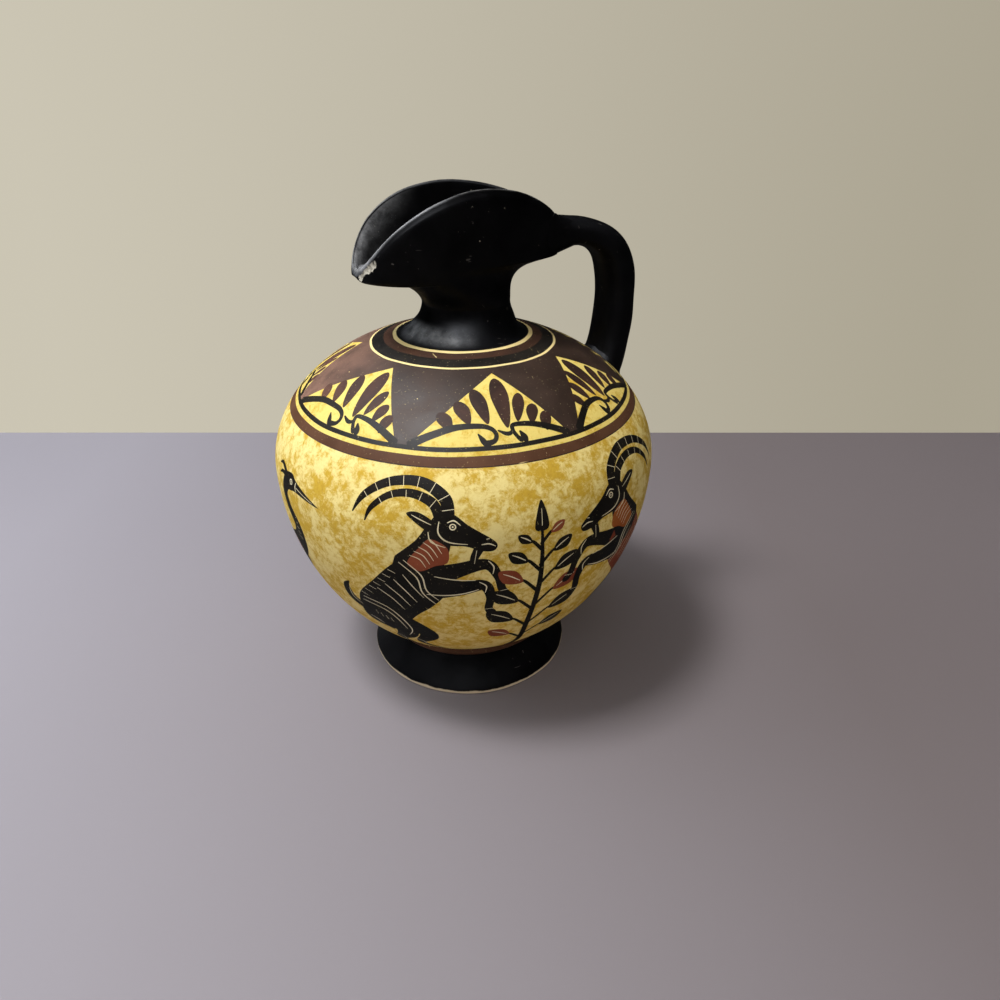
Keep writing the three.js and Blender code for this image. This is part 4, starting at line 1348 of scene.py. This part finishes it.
def on_handle(t, a, grow=0.0):
    """A point of the strap's surface: t runs along it from 0 to 1, a goes round it."""
    at = clamp01(t) * HANDLE_STEPS
    k = min(HANDLE_STEPS - 1, int(at))
    centre = HANDLE_LINE[k].lerp(HANDLE_LINE[k + 1], at - k)
    along = (HANDLE_LINE[min(HANDLE_STEPS, k + 4)] - HANDLE_LINE[max(0, k - 3)]).normalized()
    across = Vector((0.0, 1.0, 0.0))
    outward = along.cross(across)
    share = lerp(HANDLE_ROOT_SHARE, 1, smooth(t, 0.0, 0.5))
    wide = HANDLE_WIDTH / 2 * share * lerp(1, HANDLE_BASE_SPREAD, smooth(t, 0.5, 1.0))
    thick = HANDLE_THICKNESS / 2 * share
    offset = across * (wide + grow) * power(math.cos(a), STRAP_SQUARENESS)
    offset += outward * (thick + grow) * power(math.sin(a), STRAP_SQUARENESS)
    hand = UNEVEN * noise.noise(centre * 0.09 + offset * 0.03)
    return centre + offset + offset.normalized() * hand


def capped(name, rings, coat):
    """A closed skin over rings of the same count, with a point in the middle of each end."""
    count = len(rings[0])
    points = [p for ring in rings for p in ring]
    faces = band_faces(len(rings), count, False)
    for ring, first, turn in ((rings[0], 0, 1), (rings[-1], (len(rings) - 1) * count, -1)):
        points.append(sum(ring, Vector()) / count)
        for i in range(count):
            corner = (first + (i + 1) % count, first + i, len(points) - 1)
            faces.append(corner[::turn])
    return make(name, points, faces, [coat])


def make_handle():
    rings = []
    for k in range(STRAP_RINGS + 1):
        t = lerp(*STRAP_ENDS, k / STRAP_RINGS)
        rings.append([on_handle(t, TURN * i / STRAP_SIDES) for i in range(STRAP_SIDES)])
    settle(capped("handle", rings, BLACK_PIECE), "handle")


def off_body(p):
    """Below 0 inside the body."""
    reach = BELLY_DROP if p.z < WIDEST_Z else SHOULDER_RISE
    return (p.x**2 + p.y**2) / BELLY_RADIUS**2 + ((p.z - WIDEST_Z) / reach) ** 2 - 1


def off_mouth(p):
    """Below 0 inside the mouth's outside, as if it went on above the rim."""
    level = mouth_level(max(0.0, p.z - WAIST_Z), 0.0, 0.0)
    _, station, front, back, side, (fullness, spread, point) = level
    x, y = p.x - station, abs(p.y) / side
    if x < 0:
        return (-x / front) ** fullness + y**fullness - 1
    return (x / back) ** spread + y**point - 1


def drop_on(p, off):
    """The nearest point of a surface, found by stepping along its slope, and the slope."""
    eps = 0.01
    steps = [Vector(step) for step in ((eps, 0, 0), (0, eps, 0), (0, 0, eps))]
    slope = Vector((0, 0, 1))
    for _ in range(8):
        value = off(p)
        slope = Vector([(off(p + step) - value) / eps for step in steps])
        p = p - slope * (value / max(slope.length_squared, 1e-9))
    return p, slope.normalized()


COIL_STEPS = 12
COIL_UNEVEN, COIL_LUMPS = 0.3, 0.3
COIL_UNDER_RIM = 0.5  # the coil on the mouth ends this far under the rim


def make_coil(name, off, start, end, length, spread, full):
    """Clay smoothed into the angle round one end of the handle: it leaves the strap, turns through
    the angle and feathers out on the wall. Start and end are places along the strap; full is how far
    it stands out of the angle."""
    rings = [[] for _ in range(COIL_STEPS + 3)]
    away = math.copysign(1.0, start - end)
    for i in range(STRAP_SIDES):
        a = TURN * i / STRAP_SIDES
        outside, inside = start, end
        for _ in range(30):
            middle = (outside + inside) / 2
            outside, inside = (middle, inside) if off(on_handle(middle, a)) > 0 else (outside, middle)
        touch = on_handle(inside, a)
        uneven = 1 + COIL_UNEVEN * noise.noise(touch * 0.16)
        leave_t = inside + away * length * uneven
        leave = on_handle(leave_t, a, 0.02)
        wall, slope = drop_on(touch, off)
        heading = touch - on_handle(inside, a, -4.0)
        heading = (heading - slope * heading.dot(slope)).normalized()
        foot, slope = drop_on(wall + heading * spread * uneven, off)
        foot += slope * 0.03
        if foot.z > WAIST_Z:
            foot.z = min(foot.z, rim_z(foot.x) - COIL_UNDER_RIM)
        bend = touch.lerp((leave + foot) / 2, full)
        rings[0].append(on_handle(leave_t, a, -0.8))
        for k in range(COIL_STEPS + 1):
            t = k / COIL_STEPS
            p = leave * (1 - t) ** 2 + bend * 2 * t * (1 - t) + foot * t * t
            lump = COIL_LUMPS * noise.noise(p * 0.22) * math.sin(math.pi * t)
            rings[k + 1].append(p + (slope + heading).normalized() * lump)
        rings[-1].append(foot - slope * 0.9)
    points = [p for ring in rings for p in ring]
    faces = band_faces(len(rings), STRAP_SIDES, True)
    if start > end:
        faces = [face[::-1] for face in faces]
    settle(make(name, points, faces, [BLACK_PIECE]), name)


# The room: table, light and camera, in metres

VIEW_TURN = math.radians(-23)  # the room is turned with the camera
ACROSS = (math.cos(VIEW_TURN), math.sin(VIEW_TURN), 0.0)  # to the right of someone behind the camera
TABLE_WIDE, TABLE_FRONT, TABLE_BACK = 1.6, -1.4, 0.226
TABLE_GREY, TABLE_PALE = rgb(0.252, 0.241, 0.284), rgb(0.272, 0.261, 0.305)
# painted shade: the table darkens towards the right between these distances
TABLE_SHADE, TABLE_SHADE_FROM, TABLE_SHADE_FULL = rgb(0.14, 0.12, 0.127), -0.25, 0.17  # from left to right
TABLE_MIRRORED = rgb(0.03, 0.028, 0.03)  # the table as the gloss shows it
# painted light: the wall is lighter on the left and darker on the right
WALL_LEFT, WALL_RIGHT = rgb(0.60, 0.56, 0.455), rgb(0.41, 0.375, 0.29)
ROOM_LIGHT = rgb(0.29, 0.262, 0.214)
GLOSS_DARK, GLOSS_BRIGHT = rgb(0.012, 0.012, 0.013), rgb(10.0, 10.4, 11.2)
GLOSS_SIDE = (-0.985, -0.174, 0.0)  # the bright patch overhead lies towards this side
LAMP_AIM = Vector((0, 0, 0.08))
LENS, SENSOR = 27.036, 36.0  # millimetres
CAMERA_PLACE, CAMERA_TILT = (-0.0961, -0.2627, 0.2261), math.radians(60.77)


def in_room(x, y, z):
    """A place given to the right, to the back and up."""
    c, s, _ = ACROSS
    return (x * c - y * s, x * s + y * c, z)


def stand_in_room(name, data):
    thing = bpy.data.objects.new(name, data)
    bpy.context.scene.collection.objects.link(thing)
    return thing


def lay_table():
    def paint(board, vector):
        cloud = board.noise(vector, 9, 3, 0.5)
        # painted shade towards the right
        shaded = board.spread(board.along(vector, ACROSS), TABLE_SHADE_FROM, TABLE_SHADE_FULL)
        seen = board.mix(cloud, TABLE_GREY, TABLE_PALE)
        seen = board.mix(shaded, seen, TABLE_SHADE)
        mirrored = board.add("ShaderNodeLightPath").outputs["Is Glossy Ray"]
        return board.mix(mirrored, seen, TABLE_MIRRORED), cloud, board.noise(vector, 300, 3)

    mesh = bpy.data.meshes.new("table_top")
    corners = ((-1, TABLE_FRONT), (1, TABLE_FRONT), (1, TABLE_BACK), (-1, TABLE_BACK))
    mesh.from_pydata([in_room(side * TABLE_WIDE, y, 0.0) for side, y in corners], [], [(0, 1, 2, 3)])
    mesh.materials.append(finish_coat("table_grey", (0.6, 0.75), 0.1, paint))
    stand_in_room("table_top", mesh)


def fill_room():
    """The wall that the camera sees, an even light, and a bright patch overhead for the gloss alone."""
    world = bpy.data.worlds.new("room")
    bpy.context.scene.world = world
    world.use_nodes = True
    tree = world.node_tree
    tree.nodes.clear()
    board = Board(tree)
    path = board.add("ShaderNodeLightPath").outputs
    heading = board.add("ShaderNodeTexCoord").outputs["Generated"]

    def towards(direction, low, high):
        return board.spread(board.along(heading, direction), low, high)

    overhead, aside = towards((0.0, 0.0, 1.0), 0.55, 0.8), towards(GLOSS_SIDE, -0.1, 0.4)
    sheen = board.mix(board.math("MULTIPLY", overhead, aside), GLOSS_DARK, GLOSS_BRIGHT)
    colour = board.mix(path["Is Glossy Ray"], ROOM_LIGHT, sheen)
    # painted shade across the wall, from left to right
    wall = board.mix(towards(ACROSS, -0.5, 0.5), WALL_LEFT, WALL_RIGHT)
    colour = board.mix(path["Is Camera Ray"], colour, wall)
    sky = board.add("ShaderNodeBackground", {"Color": colour, "Strength": 1.0})
    end = board.add("ShaderNodeOutputWorld")
    tree.links.new(sky.outputs["Background"], end.inputs["Surface"])


def hang_lamps():
    def lamp(name, place, size, watts, tint, mirrored):
        data = bpy.data.lights.new(name, "AREA")
        data.shape, data.size, data.energy, data.color = "SQUARE", size, watts, tint
        light = stand_in_room(name, data)
        light.location = in_room(*place)
        light.rotation_euler = (LAMP_AIM - light.location).to_track_quat("-Z", "Y").to_euler()
        light.visible_glossy = mirrored

    lamp("lamp", (-0.29, -0.15, 0.92), size=0.2, watts=8.4, tint=(1.0, 0.98, 0.95), mirrored=True)
    lamp("window", (-0.85, 0.1, 0.62), size=0.6, watts=3.5, tint=(0.86, 0.96, 1.0), mirrored=False)
    lamp("fill", (0.0, -0.85, 0.7), size=0.7, watts=2.4, tint=(1.0, 0.97, 0.93), mirrored=False)


def set_camera():
    data = bpy.data.cameras.new("camera")
    data.lens, data.sensor_width = LENS, SENSOR
    camera = stand_in_room("camera", data)
    camera.location = CAMERA_PLACE
    camera.rotation_euler = (CAMERA_TILT, 0.0, VIEW_TURN)
    bpy.context.scene.camera = camera
    bpy.context.scene.view_settings.view_transform = "Standard"


make_foot()
make_foot_coil()
paint_belly()
paint_shoulder()
make_neck()
make_mouth()
make_handle()
make_coil("handle_root_coil", off_mouth, start=0.3, end=0.0, length=0.11, spread=4.0, full=0.3)
make_coil("handle_base_coil", off_body, start=0.7, end=1.0, length=0.04, spread=1.5, full=0.0)
lay_table()
fill_room()
hang_lamps()
set_camera()
